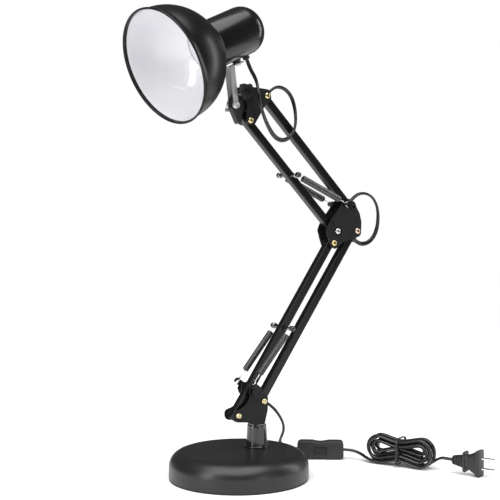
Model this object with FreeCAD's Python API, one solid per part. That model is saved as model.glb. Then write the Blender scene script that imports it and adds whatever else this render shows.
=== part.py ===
import FreeCAD
import Part

import math
import os

V = FreeCAD.Vector

# Accordion desk lamp: a weighted round base, a short swivel stem and two
# parallelogram arms of square tube, balanced by four springs, with a bell shade.
# Millimetres and degrees. The origin is the centre of the base's underside, +Z is up,
# and the arms fold in a plane parallel to XZ that passes through the stem's axis.

# ---- base and stem ----
base_d = 170.0
base_h = 33.7
base_edge_r = 18.0
base_wall = 1.2
pad_t = 1.6
pad_inset = 0.6
weight_h = 15.0
weight_gap = 1.0
stem_x = 30.6
stem_y = 7.4
stem_h = 28.0
stem_foot_d = 27.2
stem_top_d = 23.8
flange_d = 30.4
flange_t = 1.8
peg_d = 12.0
peg_len = 22.0
peg_head_d = 15.0
swivel_washer_t = 0.7
stem_bolt_d = 8.0
stem_bolt_head_d = 14.0
stem_bolt_head_h = 5.3

# ---- arms: pivot places are measured from the stem's axis ----
tube_w = 10.0
tube_wall = 1.0
tube_edge_r = 1.2
tube_overhang = 6.0
lower_front_x = -32.4
lower_front_z = 75.9
lower_pitch = 39.4
lower_pitch_angle = 21.7
lower_len = 250.3
lower_angle = 55.5
elbow_step_x = 5.7
elbow_step_z = 14.9
upper_pitch = 38.7
upper_pitch_angle = 51.8
upper_len = 187.5
upper_angle = 133.5

# ---- brackets, pivots and their fits ----
bracket_w = 21.7
plate_t = 2.0
ear_r = 6.7
screw_d = 4.0
screw_head_d = 7.2
screw_head_h = 2.2
screw_reach = 3.0
recess_w = 0.9
recess_depth = 1.1
hole_gap = 0.1
pin_fit = 0.05
open_pivot_gap = 0.3
wall_hole_gap = 0.4
face_gap = 0.25
body_gap = 0.3
spacer_d = 8.6

# ---- springs ----
spring_y = 17.5
spring_d = 8.5
wire_d = 1.5
spring_turns = 12
lower_pin_place = 0.50
upper_pin_place = 0.52
pin_d = 5.0
ball_d = 7.0
ball_y = 22.0
pin_leg = 7.0
hook_leg = 12.0
hook_dx = 15.600
hook_dz = 37.700
hook_outer_r = 4.5
hook_inner_r = 2.2
hook_plate_t = 2.4
stud_dx = 10.929
stud_dz = 33.921
stud_d = 5.0
stud_head_d = 7.4

# ---- head ----
knob_dx = -8.705
knob_dz = 34.314
knob_d = 20.0
knob_t = 7.4
knob_lobes = 5
knob_bolt_d = 5.0
block_t = 9.4
tilt_dx = -17.105
tilt_dz = 18.214
tilt_bolt_d = 4.0
yoke_t = 1.6
yoke_leg_w = 6.5
yoke_eye_r = 4.6
wing_span = 15.0
pan_dx = 3.800
pan_dz = 53.500
shade_pitch = 23.6
shade_pan = 7.8
pan_station = 105.0
boss_h = 3.0
rim_d = 140.4
shade_wall = 0.8
bead_r = 1.3
dome_r = 68.0
dome_station = 8.0
neck_d = 64.0
neck_len = 3.2
holder_hole_d = 38.0
cap_d = 58.8
cap_wall = 1.4
cap_edge_r = 14.0
shade_len = 151.3
socket_d = 26.6
socket_wall = 0.6
socket_len = 26.0
holder_d = 36.0
holder_front = 64.0
holder_back = 112.0

# ---- cord, switch and plug ----
cord_d = 5.0
bend_share = 0.45
cord_step = 8.5
channel_gap = 0.25
grommet_d = 8.6
grommet_h = 4.0
grommet_inset = 2.5
elbow_entry_inset = 8.0
cap_cord_station = 121.0
switch_len = 60.0
switch_w = 24.0
switch_t = 15.0
switch_waist = 2.2
switch_x = 118.0
switch_y = 48.0
switch_heading = -35.0
rocker_len = 15.0
rocker_w = 6.4
rocker_rise = 1.6
rocker_sink = 0.8
rocker_gap = 0.6
rocker_pivot_depth = 1.7
hank_x = 206.0
hank_y = -56.0
hank_heading = -65.0
hank_half = 28.0
hank_inner = 6.8
hank_step = 2.95
hank_layer = 5.6
hank_pinch = 5.2
hank_runs = 17
plug_x = 236.0
plug_y = -120.0
plug_heading = -67.0
plug_w = 33.0
plug_t = 16.0
blade_pitch = 12.7
blade_len = 17.0
blade_w = 6.3
blade_t = 1.5

# ---- derived places in the arm plane ----
half_tube = tube_w / 2
plate_out = bracket_w / 2
plate_in = plate_out - plate_t


def along(start, length, angle):
    return V(start.x + length * math.cos(math.radians(angle)), 0,
             start.z + length * math.sin(math.radians(angle)))


lower_front = V(lower_front_x, 0, lower_front_z)
lower_back = along(lower_front, lower_pitch, lower_pitch_angle)
elbow_low_front = along(lower_front, lower_len, lower_angle)
elbow_low_back = along(lower_back, lower_len, lower_angle)
elbow_up_front = elbow_low_front + V(elbow_step_x, 0, elbow_step_z)
elbow_up_back = along(elbow_up_front, upper_pitch, upper_pitch_angle)
top_front = along(elbow_up_front, upper_len, upper_angle)
top_back = along(elbow_up_back, upper_len, upper_angle)
hook_x = lower_front.x + hook_dx
hook_z = lower_front.z + hook_dz
stud_x = elbow_up_front.x + stud_dx
stud_z = elbow_up_front.z + stud_dz
knob_x = top_front.x + knob_dx
knob_z = top_front.z + knob_dz
tilt_x = top_front.x + tilt_dx
tilt_z = top_front.z + tilt_dz
pan_x = tilt_x + pan_dx
pan_z = tilt_z + pan_dz
lower_pin = along(lower_front, lower_len * lower_pin_place, lower_angle)
upper_pin = along(elbow_up_front, upper_len * upper_pin_place, upper_angle)
stem_top = base_h + stem_h
bracket_foot = stem_top + swivel_washer_t + hole_gap


# ---- helpers ----
def unit(v):
    return V(v).multiply(1.0 / v.Length)


def rounded_edges(corners):
    # A closed outline in the XZ plane: each corner is x, z and its rounding radius.
    count = len(corners)
    cuts = []
    for i in range(count):
        here = V(corners[i][0], 0, corners[i][1])
        back = unit(V(corners[i - 1][0], 0, corners[i - 1][1]) - here)
        ahead = unit(V(corners[(i + 1) % count][0], 0, corners[(i + 1) % count][1]) - here)
        r = corners[i][2]
        half = back.getAngle(ahead) / 2
        reach = r / math.tan(half)
        mid = here + unit(back + ahead) * (r / math.sin(half) - r)
        cuts.append((here + back * reach, mid, here + ahead * reach, r))
    edges = []
    for i in range(count):
        start, mid, end, r = cuts[i]
        if r > 0:
            edges.append(Part.Arc(start, mid, end).toShape())
        nxt = cuts[(i + 1) % count][0]
        if (nxt - end).Length > 1e-6:
            edges.append(Part.LineSegment(end, nxt).toShape())
    return edges


def slab(corners, y0, y1):
    face = Part.Face(Part.Wire(rounded_edges(corners)))
    face.translate(V(0, min(y0, y1), 0))
    return face.extrude(V(0, abs(y1 - y0), 0))


def rod(place, r, y0, y1):
    low = min(y0, y1)
    return Part.makeCylinder(r, abs(y1 - y0), V(place.x, low, place.z), V(0, 1, 0))


def ring(place, r_out, r_in, y0, y1):
    return rod(place, r_out, y0, y1).cut(rod(place, r_in, y0 - 1, y1 + 1))


def fused(shapes):
    return shapes[0].multiFuse(shapes[1:]).removeSplitter()


def group(shapes):
    return Part.makeCompound(shapes)


def revolved(profile, axis_x=0, axis_y=0):
    # profile: closed list of radius, height and, where an arc ends there, its middle point
    edges = []
    count = len(profile)
    for i in range(count):
        a = profile[i]
        b = profile[(i + 1) % count]
        start = V(a[0], 0, a[1])
        end = V(b[0], 0, b[1])
        if len(b) > 2:
            edges.append(Part.Arc(start, V(b[2][0], 0, b[2][1]), end).toShape())
        else:
            edges.append(Part.LineSegment(start, end).toShape())
    solid = Part.Face(Part.Wire(edges)).revolve(V(0, 0, 0), V(0, 0, 1), 360)
    solid.translate(V(axis_x, axis_y, 0))
    return solid


def posed(shape, place):
    return shape.transformed(place.toMatrix())


def link_place(start, angle):
    return FreeCAD.Placement(V(start.x, 0, start.z), FreeCAD.Rotation(V(0, 1, 0), -angle))


def tangent_path(points, name):
    # straight runs joined by arcs as large as the two runs allow
    edges = []
    radii = []
    last = points[0]
    for i in range(1, len(points) - 1):
        back = points[i - 1] - points[i]
        ahead = points[i + 1] - points[i]
        half = back.getAngle(ahead) / 2
        reach = bend_share * min(back.Length, ahead.Length)
        r = reach * math.tan(half)
        back = unit(back)
        ahead = unit(ahead)
        start = points[i] + back * reach
        end = points[i] + ahead * reach
        mid = points[i] + unit(back + ahead) * (r / math.sin(half) - r)
        edges.append(Part.LineSegment(last, start).toShape())
        edges.append(Part.Arc(start, mid, end).toShape())
        radii.append(r)
        last = end
    edges.append(Part.LineSegment(last, points[-1]).toShape())
    if radii:
        print(name, "least bend radius", round(min(radii), 1), "radii", [round(r, 1) for r in radii])
    return edges


def pipe(edges, r, name):
    wire = Part.Wire(edges)
    start = edges[0].valueAt(edges[0].FirstParameter)
    heading = edges[0].tangentAt(edges[0].FirstParameter)
    shell = Part.BRepOffsetAPI.MakePipeShell(wire)
    shell.add(Part.Wire([Part.makeCircle(r, start, heading)]))
    shell.build()
    shell.makeSolid()
    solid = shell.shape()
    share = solid.Volume / (math.pi * r * r * wire.Length)
    print(name, "length", round(wire.Length, 1), "volume against section x length", round(share, 4))
    return solid


def biarc(p0, t0, p1, t1):
    # two arcs that leave p0 along t0 and reach p1 along t1
    v = p1 - p0
    t = t0 + t1
    a = 2 * (1 - t0.dot(t1))
    b = v.dot(t)
    if a < 1e-9:
        d = v.dot(v) / (4 * v.dot(t1))
    else:
        d = (-b + math.sqrt(b * b + a * v.dot(v))) / a
    c0 = p0 + t0 * d
    c1 = p1 - t1 * d
    q = (c0 + c1) * 0.5
    return [corner_arc(p0, c0, q), corner_arc(q, c1, p1)]


def corner_arc(a, corner, b):
    chord = (b - a).Length
    middle = (a + b) * 0.5
    rise = (corner - middle).Length
    if rise < 1e-6:
        return Part.LineSegment(a, b).toShape()
    half = math.atan2(rise, chord / 2)
    sag = chord / 2 * math.tan(half / 2)
    return Part.Arc(a, middle + unit(corner - middle) * sag, b).toShape()


def biarc_path(nodes):
    edges = []
    for (p0, t0), (p1, t1) in zip(nodes, nodes[1:]):
        if (unit(p1 - p0) - t0).Length < 1e-6 and (t1 - t0).Length < 1e-6:
            edges.append(Part.LineSegment(p0, p1).toShape())
        else:
            edges.extend(biarc(p0, t0, p1, t1))
    return edges


def least_gap(edges, d, apart, name):
    # least clear gap of a tube to itself, on points spaced along its line
    step = 1.0
    points = []
    for edge in edges:
        count = max(2, int(edge.Length / step))
        points.extend(edge.discretize(Number=count)[:-1])
    travelled = [0.0]
    for a, b in zip(points, points[1:]):
        travelled.append(travelled[-1] + (b - a).Length)
    least = 1e9
    for i in range(len(points)):
        for j in range(i + 1, len(points)):
            if travelled[j] - travelled[i] > apart:
                least = min(least, (points[i] - points[j]).Length)
    print(name, "least gap to itself", round(least - d, 2))


# ---- base and stem ----
def base_shell():
    r = base_d / 2
    k = math.sqrt(0.5)
    top_r = r - base_edge_r
    inner_edge = base_edge_r - base_wall
    inner_top = base_h - base_wall
    corner_z = base_h - base_edge_r
    shell = revolved([
        (0, base_h),
        (0, inner_top),
        (top_r, inner_top),
        (r - base_wall, corner_z, (top_r + inner_edge * k, corner_z + inner_edge * k)),
        (r - base_wall, pad_t),
        (r, pad_t),
        (r, corner_z),
        (top_r, base_h, (top_r + base_edge_r * k, corner_z + base_edge_r * k)),
    ])
    hole = Part.makeCylinder(stem_bolt_d / 2 + body_gap, base_h, V(stem_x, stem_y, 0))
    return shell.cut(hole)


def base_weight():
    r = base_d / 2 - base_wall - weight_gap
    disc = Part.makeCylinder(r, weight_h, V(0, 0, pad_t))
    disc = disc.makeChamfer(1.5, [e for e in disc.Edges if e.BoundBox.ZMin > pad_t + weight_h / 2])
    boss_top = base_h - base_wall
    boss = Part.makeCylinder(stem_foot_d / 2, boss_top - pad_t, V(stem_x, stem_y, pad_t))
    hole = Part.makeCylinder(stem_bolt_d / 2 + body_gap, boss_top + 2, V(stem_x, stem_y, -1))
    seat = Part.makeCylinder(stem_bolt_head_d / 2 + body_gap, stem_bolt_head_h + 1.0, V(stem_x, stem_y, pad_t))
    return disc.fuse(boss).cut(hole).cut(seat).removeSplitter()


def base_pad():
    return Part.makeCylinder(base_d / 2 - pad_inset, pad_t)


def stem_post():
    foot = stem_foot_d / 2
    top = stem_top_d / 2
    bore = peg_d / 2 + pin_fit
    bore_foot = stem_top - peg_len - 1.0
    thread = stem_bolt_d / 2
    lip = 1.0
    body = revolved([
        (thread, base_h),
        (flange_d / 2, base_h),
        (flange_d / 2, base_h + flange_t),
        (foot, base_h + flange_t),
        (top, stem_top - lip),
        (top - lip, stem_top, (top - lip * 0.3, stem_top - lip * 0.3)),
        (bore, stem_top),
        (bore, bore_foot),
        (thread, bore_foot),
    ], stem_x, stem_y)
    return body


def stem_bolt():
    head_z = pad_t + 1.0
    top = stem_top - peg_len - 1.0
    head = Part.makeCylinder(stem_bolt_head_d / 2, stem_bolt_head_h, V(0, 0, head_z))
    hexagon = Part.Face(Part.makePolygon([
        V(stem_bolt_head_d / 2 * math.cos(math.radians(60 * i)),
          stem_bolt_head_d / 2 * math.sin(math.radians(60 * i)), head_z) for i in range(7)]))
    head = head.common(hexagon.extrude(V(0, 0, stem_bolt_head_h)))
    shank = Part.makeCylinder(stem_bolt_d / 2 - hole_gap, top - head_z, V(0, 0, head_z))
    bolt = head.fuse(shank).removeSplitter()
    bolt.translate(V(stem_x, stem_y, 0))
    return bolt


def swivel_washer():
    disc = Part.makeCylinder(stem_top_d / 2 - 1.6, swivel_washer_t, V(stem_x, stem_y, stem_top))
    return disc.cut(Part.makeCylinder(peg_d / 2 + body_gap, 2, V(stem_x, stem_y, stem_top - 0.5)))


# ---- lower bracket: a folded plate whose two sides carry the lower pivots ----
def bracket_side():
    f = lower_front
    b = lower_back
    foot = bracket_foot
    return [
        (f.x - ear_r * 1.15, f.z - ear_r, ear_r),
        (f.x + 14.0, f.z - ear_r * 1.35, 9.0),
        (-9.5, foot, 1.5),
        (4.8, foot, 1.5),
        (b.x + 5.2, b.z - 11.0, 20.0),
        (b.x + 5.6, b.z + 6.0, 5.6),
        (b.x - 6.8, b.z + 14.8, 8.0),
        (b.x - 9.4, b.z + 22.6, 3.0),
        (b.x - 19.4, b.z + 22.6, 3.0),
        (b.x - 20.6, b.z + 13.0, 6.0),
        (b.x - 18.0, b.z + 2.0, 16.0),
        (f.x + 1.0, f.z + ear_r + 0.5, ear_r * 0.8),
        (f.x - ear_r - 0.8, f.z + ear_r - 1.0, ear_r * 0.8),
    ]


def lower_bracket():
    sides = []
    for side in (-1, 1):
        cheek = slab(bracket_side(), side * plate_in, side * plate_out)
        for pivot in (lower_front, lower_back):
            cheek = cheek.cut(rod(pivot, screw_d / 2 + hole_gap, -bracket_w, bracket_w))
        sides.append(cheek)
    hub = slab([(-9.5, bracket_foot, 1.5), (4.8, bracket_foot, 1.5), (4.8, bracket_foot + 15.0, 2.0),
                (-13.0, bracket_foot + 15.0, 2.0), (-13.0, bracket_foot + 7.0, 2.0)], -plate_in, plate_in)
    collar = Part.makeCylinder(stem_top_d / 2 - 1.6, 4.0, V(0, 0, bracket_foot))
    body = fused([hub, collar] + sides)
    bore = Part.makeCylinder(peg_d / 2 + hole_gap, 9.0 + hole_gap, V(0, 0, bracket_foot))
    return body.cut(bore)


def swivel_peg():
    low = stem_top - peg_len
    high = bracket_foot + 9.0
    tip = 1.2
    return revolved([(0, low), (peg_d / 2 - tip, low), (peg_d / 2, low + tip), (peg_d / 2, high), (0, high)])


def spring_hooks():
    # a hooked ear stands outboard of each cheek on a short web
    hooks = []
    eye = V(hook_x, 0, hook_z)
    for side in (-1, 1):
        y0 = side * (spring_y - hook_plate_t / 2)
        y1 = side * (spring_y + hook_plate_t / 2)
        ear = slab([
            (eye.x + 2.6, eye.z - 15.6, 1.5),
            (eye.x, eye.z - 8.6, 1.0),
            (eye.x + 2.3, eye.z - 4.0, 0),
            (eye.x + 3.0, eye.z + 2.4, 0),
            (eye.x + 13.4, eye.z - 4.7, 1.5),
            (eye.x + 12.6, eye.z - 15.0, 1.5),
        ], y0, y1)
        ear = ear.fuse(rod(eye, hook_outer_r, y0, y1))
        ear = ear.cut(rod(eye, hook_inner_r, side * bracket_w / 2, side * bracket_w * 2))
        mouth = slab([(eye.x - 8.0, eye.z - 5.0, 0), (eye.x - 0.3, eye.z - 5.0, 0), (eye.x - 0.3, eye.z, 0),
                      (eye.x - 8.0, eye.z - 1.0, 0)], y0 - side, y1 + side)
        ear = ear.cut(mouth)
        web = slab([
            (eye.x + 3.4, eye.z - 14.9, 1.0),
            (eye.x + 2.8, eye.z - 9.1, 1.0),
            (eye.x + 10.2, eye.z - 5.7, 1.0),
            (eye.x + 12.0, eye.z - 8.5, 1.0),
        ], side * plate_out, y0)
        hooks.append(ear.fuse(web))
    return group(hooks)


# ---- pivots: a shouldered screw from each side runs in the tube's end bush ----
def pivot_screw(place, side):
    head = screw_head_h
    r = screw_head_d / 2
    start = side * screw_reach
    shank = rod(place, screw_d / 2, start, side * (plate_out + 0.5))
    crown = r * 0.3
    dome = revolved([(0, 0), (r, 0), (r, head * 0.45), (crown, head, (r * 0.76, head * 0.86)), (0, head)])
    slot = Part.makeBox(r * 1.3, recess_w, recess_depth, V(-r * 0.65, -recess_w / 2, head - recess_depth))
    cross = slot.fuse(posed(slot, FreeCAD.Placement(V(0, 0, 0), FreeCAD.Rotation(V(0, 0, 1), 90))))
    dome = dome.cut(cross)
    turn = FreeCAD.Rotation(V(1, 0, 0), -90 * side)
    dome = posed(dome, FreeCAD.Placement(V(place.x, side * plate_out, place.z), turn))
    return dome.fuse(shank).removeSplitter()


def pivot_screws(pivots):
    return group([pivot_screw(p, side) for p in pivots for side in (-1, 1)])


def pivot_spacers(pivots):
    near = half_tube + face_gap
    hole = screw_d / 2 + hole_gap
    return group([ring(p, spacer_d / 2, hole, side * near, side * plate_in) if side > 0
                  else ring(p, spacer_d / 2, hole, -plate_in, -near) for p in pivots for side in (-1, 1)])


# ---- links: square tube, with an end bush at each pivot ----
def link_tube(start, angle, length, pin_share=None, cord_insets=None):
    outer = Part.makeBox(length + 2 * tube_overhang, tube_w, tube_w, V(-tube_overhang, -half_tube, -half_tube))
    outer = outer.makeFillet(tube_edge_r, [e for e in outer.Edges if e.BoundBox.XLength > length])
    bore_w = tube_w - 2 * tube_wall
    inner = Part.makeBox(length + 4 * tube_overhang, bore_w, bore_w, V(-2 * tube_overhang, -bore_w / 2, -bore_w / 2))
    tube = outer.cut(inner)
    for x in (0, length):
        tube = tube.cut(rod(V(x, 0, 0), screw_d / 2 + wall_hole_gap, -tube_w, tube_w))
    if pin_share:
        tube = tube.cut(rod(V(length * pin_share, 0, 0), pin_d / 2 + hole_gap, -tube_w, tube_w))
    for x in cord_insets or []:
        tube = tube.cut(Part.makeCylinder(grommet_d / 2 - 0.9, half_tube, V(x, 0, -tube_w), V(0, 0, 1)))
        tube = tube.cut(Part.makeCylinder(grommet_d / 2 - 0.9, half_tube, V(x, 0, -half_tube - 1), V(0, 0, 1)))
    return posed(tube, link_place(start, angle))


def cord_run_edges(length, insets, reach, name=""):
    low = -(half_tube + reach)
    first = V(insets[0], 0, low)
    last = V(insets[1], 0, low)
    r = cord_d
    k = math.sqrt(0.5)
    a = V(insets[0], 0, -r)
    b = V(insets[0] + r, 0, 0)
    a_mid = V(insets[0] + r - r * k, 0, -r + r * k)
    c = V(insets[1] - r, 0, 0)
    d = V(insets[1], 0, -r)
    c_mid = V(insets[1] - r + r * k, 0, -r + r * k)
    return [
        Part.LineSegment(first, a).toShape(),
        Part.Arc(a, a_mid, b).toShape(),
        Part.LineSegment(b, c).toShape(),
        Part.Arc(c, c_mid, d).toShape(),
        Part.LineSegment(d, last).toShape(),
    ]


def end_bushes(start, angle, length, open_end, cord_insets=None):
    bore_w = tube_w - 2 * tube_wall - 2 * pin_fit
    inward = 9.5 + (cord_insets is not None) * 6.0
    solids = []
    for x, way in ((0, 1), (length, -1)):
        low = x - tube_overhang + 0.4 if way > 0 else x - inward
        high = x + inward if way > 0 else x + tube_overhang - 0.4
        bush = Part.makeBox(high - low, bore_w, bore_w, V(low, -bore_w / 2, -bore_w / 2))
        fit = open_pivot_gap if open_end and way < 0 else pin_fit
        for side in (-1, 1):
            bush = bush.cut(rod(V(x, 0, 0), screw_d / 2 + fit, side * (screw_reach - face_gap), side * tube_w))
        solids.append(bush)
    if cord_insets:
        channel = pipe(cord_run_edges(length, cord_insets, grommet_h + 1), cord_d / 2 + channel_gap, "channel")
        solids = [bush.cut(channel) for bush in solids]
        for x in cord_insets:
            collar_r = grommet_d / 2
            neck_r = collar_r - 1.0
            hole_r = cord_d / 2 + channel_gap
            top = -(half_tube + grommet_h)
            collar = revolved([(hole_r, top), (collar_r - 0.8, top), (collar_r, top + 0.8), (collar_r, -half_tube),
                               (neck_r, -half_tube), (neck_r, -bore_w / 2 - hole_gap), (hole_r, -bore_w / 2 - hole_gap)])
            collar.translate(V(x, 0, 0))
            solids.append(collar)
    return posed(group(solids), link_place(start, angle))


def cord_run(start, angle, length, cord_insets, name):
    edges = cord_run_edges(length, cord_insets, grommet_h)
    return posed(pipe(edges, cord_d / 2, name), link_place(start, angle))


def cross_pin(place):
    shaft = rod(place, pin_d / 2, -ball_y, ball_y)
    balls = [Part.makeSphere(ball_d / 2, V(place.x, side * ball_y, place.z)) for side in (-1, 1)]
    collars = [rod(place, pin_d / 2 + 1.0, side * (half_tube + 0.1), side * (half_tube + 2.1)) for side in (-1, 1)]
    return fused([shaft] + balls + collars)


# ---- springs: one unbroken wire from its pin to its hook ----
def spring(pin, hook, pin_r, hook_r, side, name):
    start = V(pin.x, side * spring_y, pin.z)
    end = V(hook.x, side * spring_y, hook.z)
    axis = unit(end - start)
    up = V(0, 1, 0)
    across = axis.cross(up)
    r = (spring_d - wire_d) / 2
    seat = hole_gap
    first = start + axis * (pin_r + seat)
    last = end - axis * (hook_r + seat)
    coil_from = start + axis * (pin_r + pin_leg)
    coil_to = end - axis * (hook_r + hook_leg)
    travel = (coil_to - coil_from).Length
    pitch = travel / spring_turns
    rise = pitch / (2 * math.pi)
    nodes = [(first, axis), (first + axis * wire_d, axis)]
    for i in range(2 * spring_turns + 1):
        a = math.pi * i
        centre = coil_from + axis * (pitch * i / 2)
        place = centre + up * (r * math.cos(a)) + across * (r * math.sin(a))
        heading = unit(up * (-r * math.sin(a)) + across * (r * math.cos(a)) + axis * rise)
        nodes.append((place, heading))
    nodes.append((last - axis * wire_d, axis))
    nodes.append((last, axis))
    edges = biarc_path(nodes)
    least_gap(edges, wire_d, 3 * wire_d + spring_d, name)
    return pipe(edges, wire_d / 2, name)


# ---- elbow: two plates held apart by a spacer, carrying all four pivots ----
def elbow_outline():
    f = elbow_low_front
    b = elbow_low_back
    u = elbow_up_front
    v = elbow_up_back
    return [
        (f.x - 4.6, f.z - ear_r * 0.6, 5.0),
        (f.x + 1.6, f.z - ear_r * 1.25, 5.0),
        (f.x + 14.5, f.z + 0.6, 12.0),
        (b.x + 5.8, b.z - 6.4, 6.0),
        (b.x + 6.6, b.z + 12.0, 16.0),
        (b.x + 3.6, b.z + 23.0, 14.0),
        (v.x + 6.2, v.z - 1.0, 4.0),
        (v.x + 3.0, v.z + 7.2, 4.5),
        (stud_x - 1.0, stud_z + 4.4, 3.6),
        (stud_x - 8.6, stud_z - 5.4, 5.0),
        (u.x - 14.0, u.z + 9.0, 14.0),
        (u.x - 17.4, u.z + 1.0, 6.0),
    ]


def elbow_spacer_place():
    middle = (elbow_up_front + elbow_low_back) * 0.5
    return middle + V(0, 0, 9.0)


def elbow_plate(side):
    plate = slab(elbow_outline(), side * plate_in, side * plate_out)
    for pivot in (elbow_low_front, elbow_low_back, elbow_up_front, elbow_up_back):
        plate = plate.cut(rod(pivot, screw_d / 2 + hole_gap, -bracket_w, bracket_w))
    plate = plate.cut(rod(elbow_spacer_place(), 3.0 + hole_gap, -bracket_w, bracket_w))
    # a shallow pocket, open to the front edge, frames the upper front pivot's screw
    floor = side * (plate_out - 0.8)
    u = elbow_up_front
    pocket = slab([(u.x - 26.0, u.z - 6.4, 0.5), (u.x + 6.4, u.z - 6.4, 6.2), (u.x + 6.4, u.z + 6.4, 6.2),
                   (u.x - 4.0, u.z + 6.4, 3.0), (u.x - 5.5, u.z + 12.5, 1.0), (u.x - 26.0, u.z + 12.5, 0.5)],
                  floor, side * bracket_w)
    return plate.cut(pocket)


def elbow_spacer():
    place = elbow_spacer_place()
    return rod(place, 5.0, -plate_in, plate_in).fuse(rod(place, 3.0, -plate_out, plate_out)).removeSplitter()


def spring_studs():
    place = V(stud_x, 0, stud_z)
    studs = []
    for side in (-1, 1):
        shaft = rod(place, stud_d / 2, side * plate_out, side * (ball_y - 1.0))
        collar = rod(place, stud_head_d / 2, side * plate_out, side * (plate_out + 2.0))
        head = rod(place, stud_head_d / 2, side * (ball_y - 2.0), side * ball_y)
        studs.append(fused([shaft, collar, head]))
    return group(studs)


# ---- top bracket and head joint ----
def top_outline():
    u = top_front
    b = top_back
    return [
        (u.x - 5.6, u.z - 4.0, 5.0),
        (u.x + 5.4, u.z - 5.6, 5.0),
        (b.x - 3.0, b.z - 12.0, 20.0),
        (b.x + 6.4, b.z - 3.6, 5.5),
        (b.x + 3.6, b.z + 7.6, 5.0),
        (knob_x + 4.0, knob_z + 6.6, 5.0),
        (knob_x - 6.6, knob_z + 5.4, 5.5),
        (knob_x - 5.4, knob_z - 6.4, 5.0),
        (knob_x + 4.6, knob_z - 12.0, 7.0),
        (knob_x + 3.6, u.z + 9.0, 7.0),
    ]


def top_plate(side):
    plate = slab(top_outline(), side * plate_in, side * plate_out)
    for pivot in (top_front, top_back):
        plate = plate.cut(rod(pivot, screw_d / 2 + hole_gap, -bracket_w, bracket_w))
    return plate.cut(rod(V(knob_x, 0, knob_z), knob_bolt_d / 2 + hole_gap, -bracket_w, bracket_w))


def head_block():
    # the tongue reaches forward between the yoke's legs, and its wide heel keeps the plates apart
    u = top_front
    b = top_back
    clear = math.hypot(tube_overhang, half_tube) + body_gap + 0.5
    tongue = slab([
        (tilt_x - 5.0, tilt_z - 3.5, 2.5),
        (u.x - 13.0, u.z - 4.0, 2.5),
        (u.x - 9.0, u.z - 4.0, 1.0),
        (u.x - 7.0, u.z + 12.0, 1.0),
        (u.x + 2.0, u.z + 12.0, 1.0),
        (knob_x + 14.0, knob_z + 4.6, 2.0),
        (knob_x - 3.0, knob_z + 5.4, 3.0),
        (tilt_x - 4.6, tilt_z + 8.0, 4.0),
    ], -block_t / 2, block_t / 2)
    heel = slab([
        (u.x + 0.5, u.z + 10.5, 1.5),
        (b.x - 4.5, b.z - 15.5, 2.0),
        (b.x - 9.8, b.z - 4.0, 3.0),
        (b.x - 9.8, b.z + 5.0, 2.0),
        (knob_x + 8.5, knob_z + 4.4, 2.0),
        (knob_x + 8.5, knob_z - 14.0, 2.0),
    ], -plate_in, plate_in)
    block = fused([tongue, heel])
    for pivot in (u, b):
        block = block.cut(rod(pivot, clear, -bracket_w, bracket_w))
    block = block.cut(rod(V(knob_x, 0, knob_z), knob_bolt_d / 2 + hole_gap, -bracket_w, bracket_w))
    return block.cut(rod(V(tilt_x, 0, tilt_z), tilt_bolt_d / 2 + pin_fit, -bracket_w, bracket_w))


def knob_bolt():
    place = V(knob_x, 0, knob_z)
    end = -(plate_out + body_gap + knob_t)
    shank = rod(place, knob_bolt_d / 2, end, plate_out + 1.0)
    head = rod(place, knob_bolt_d * 0.85, plate_out, plate_out + 3.2)
    return shank.fuse(head).removeSplitter()


def tension_knob():
    place = V(knob_x, 0, knob_z)
    y0 = -(plate_out + body_gap)
    y1 = y0 - knob_t
    lobe_r = knob_d * 0.165
    ring_r = knob_d / 2 - lobe_r
    core = rod(place, ring_r + lobe_r * 0.25, y0, y1)
    lobes = []
    for i in range(knob_lobes):
        a = math.radians(90 + 360 / knob_lobes * (i + 0.5))
        lobes.append(rod(place + V(ring_r * math.cos(a), 0, ring_r * math.sin(a)), lobe_r, y0, y1))
    body = fused([core] + lobes)
    dish = rod(place, ring_r * 0.7, y1, y1 + 1.4)
    return body.cut(dish).cut(rod(place, knob_bolt_d / 2 + pin_fit, y0 + 1, y1 - 1))


pitch_rad = math.radians(shade_pitch)
shade_back = V(math.cos(pitch_rad), 0, math.sin(pitch_rad))
shade_up = V(-math.sin(pitch_rad), 0, math.cos(pitch_rad))
pan_point = V(pan_x, 0, pan_z)
head_turn = FreeCAD.Rotation(shade_up, shade_pan)


def foot_corner(back, down):
    place = pan_point + shade_back * back - shade_up * down
    return (place.x, place.z, 0.4)


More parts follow.
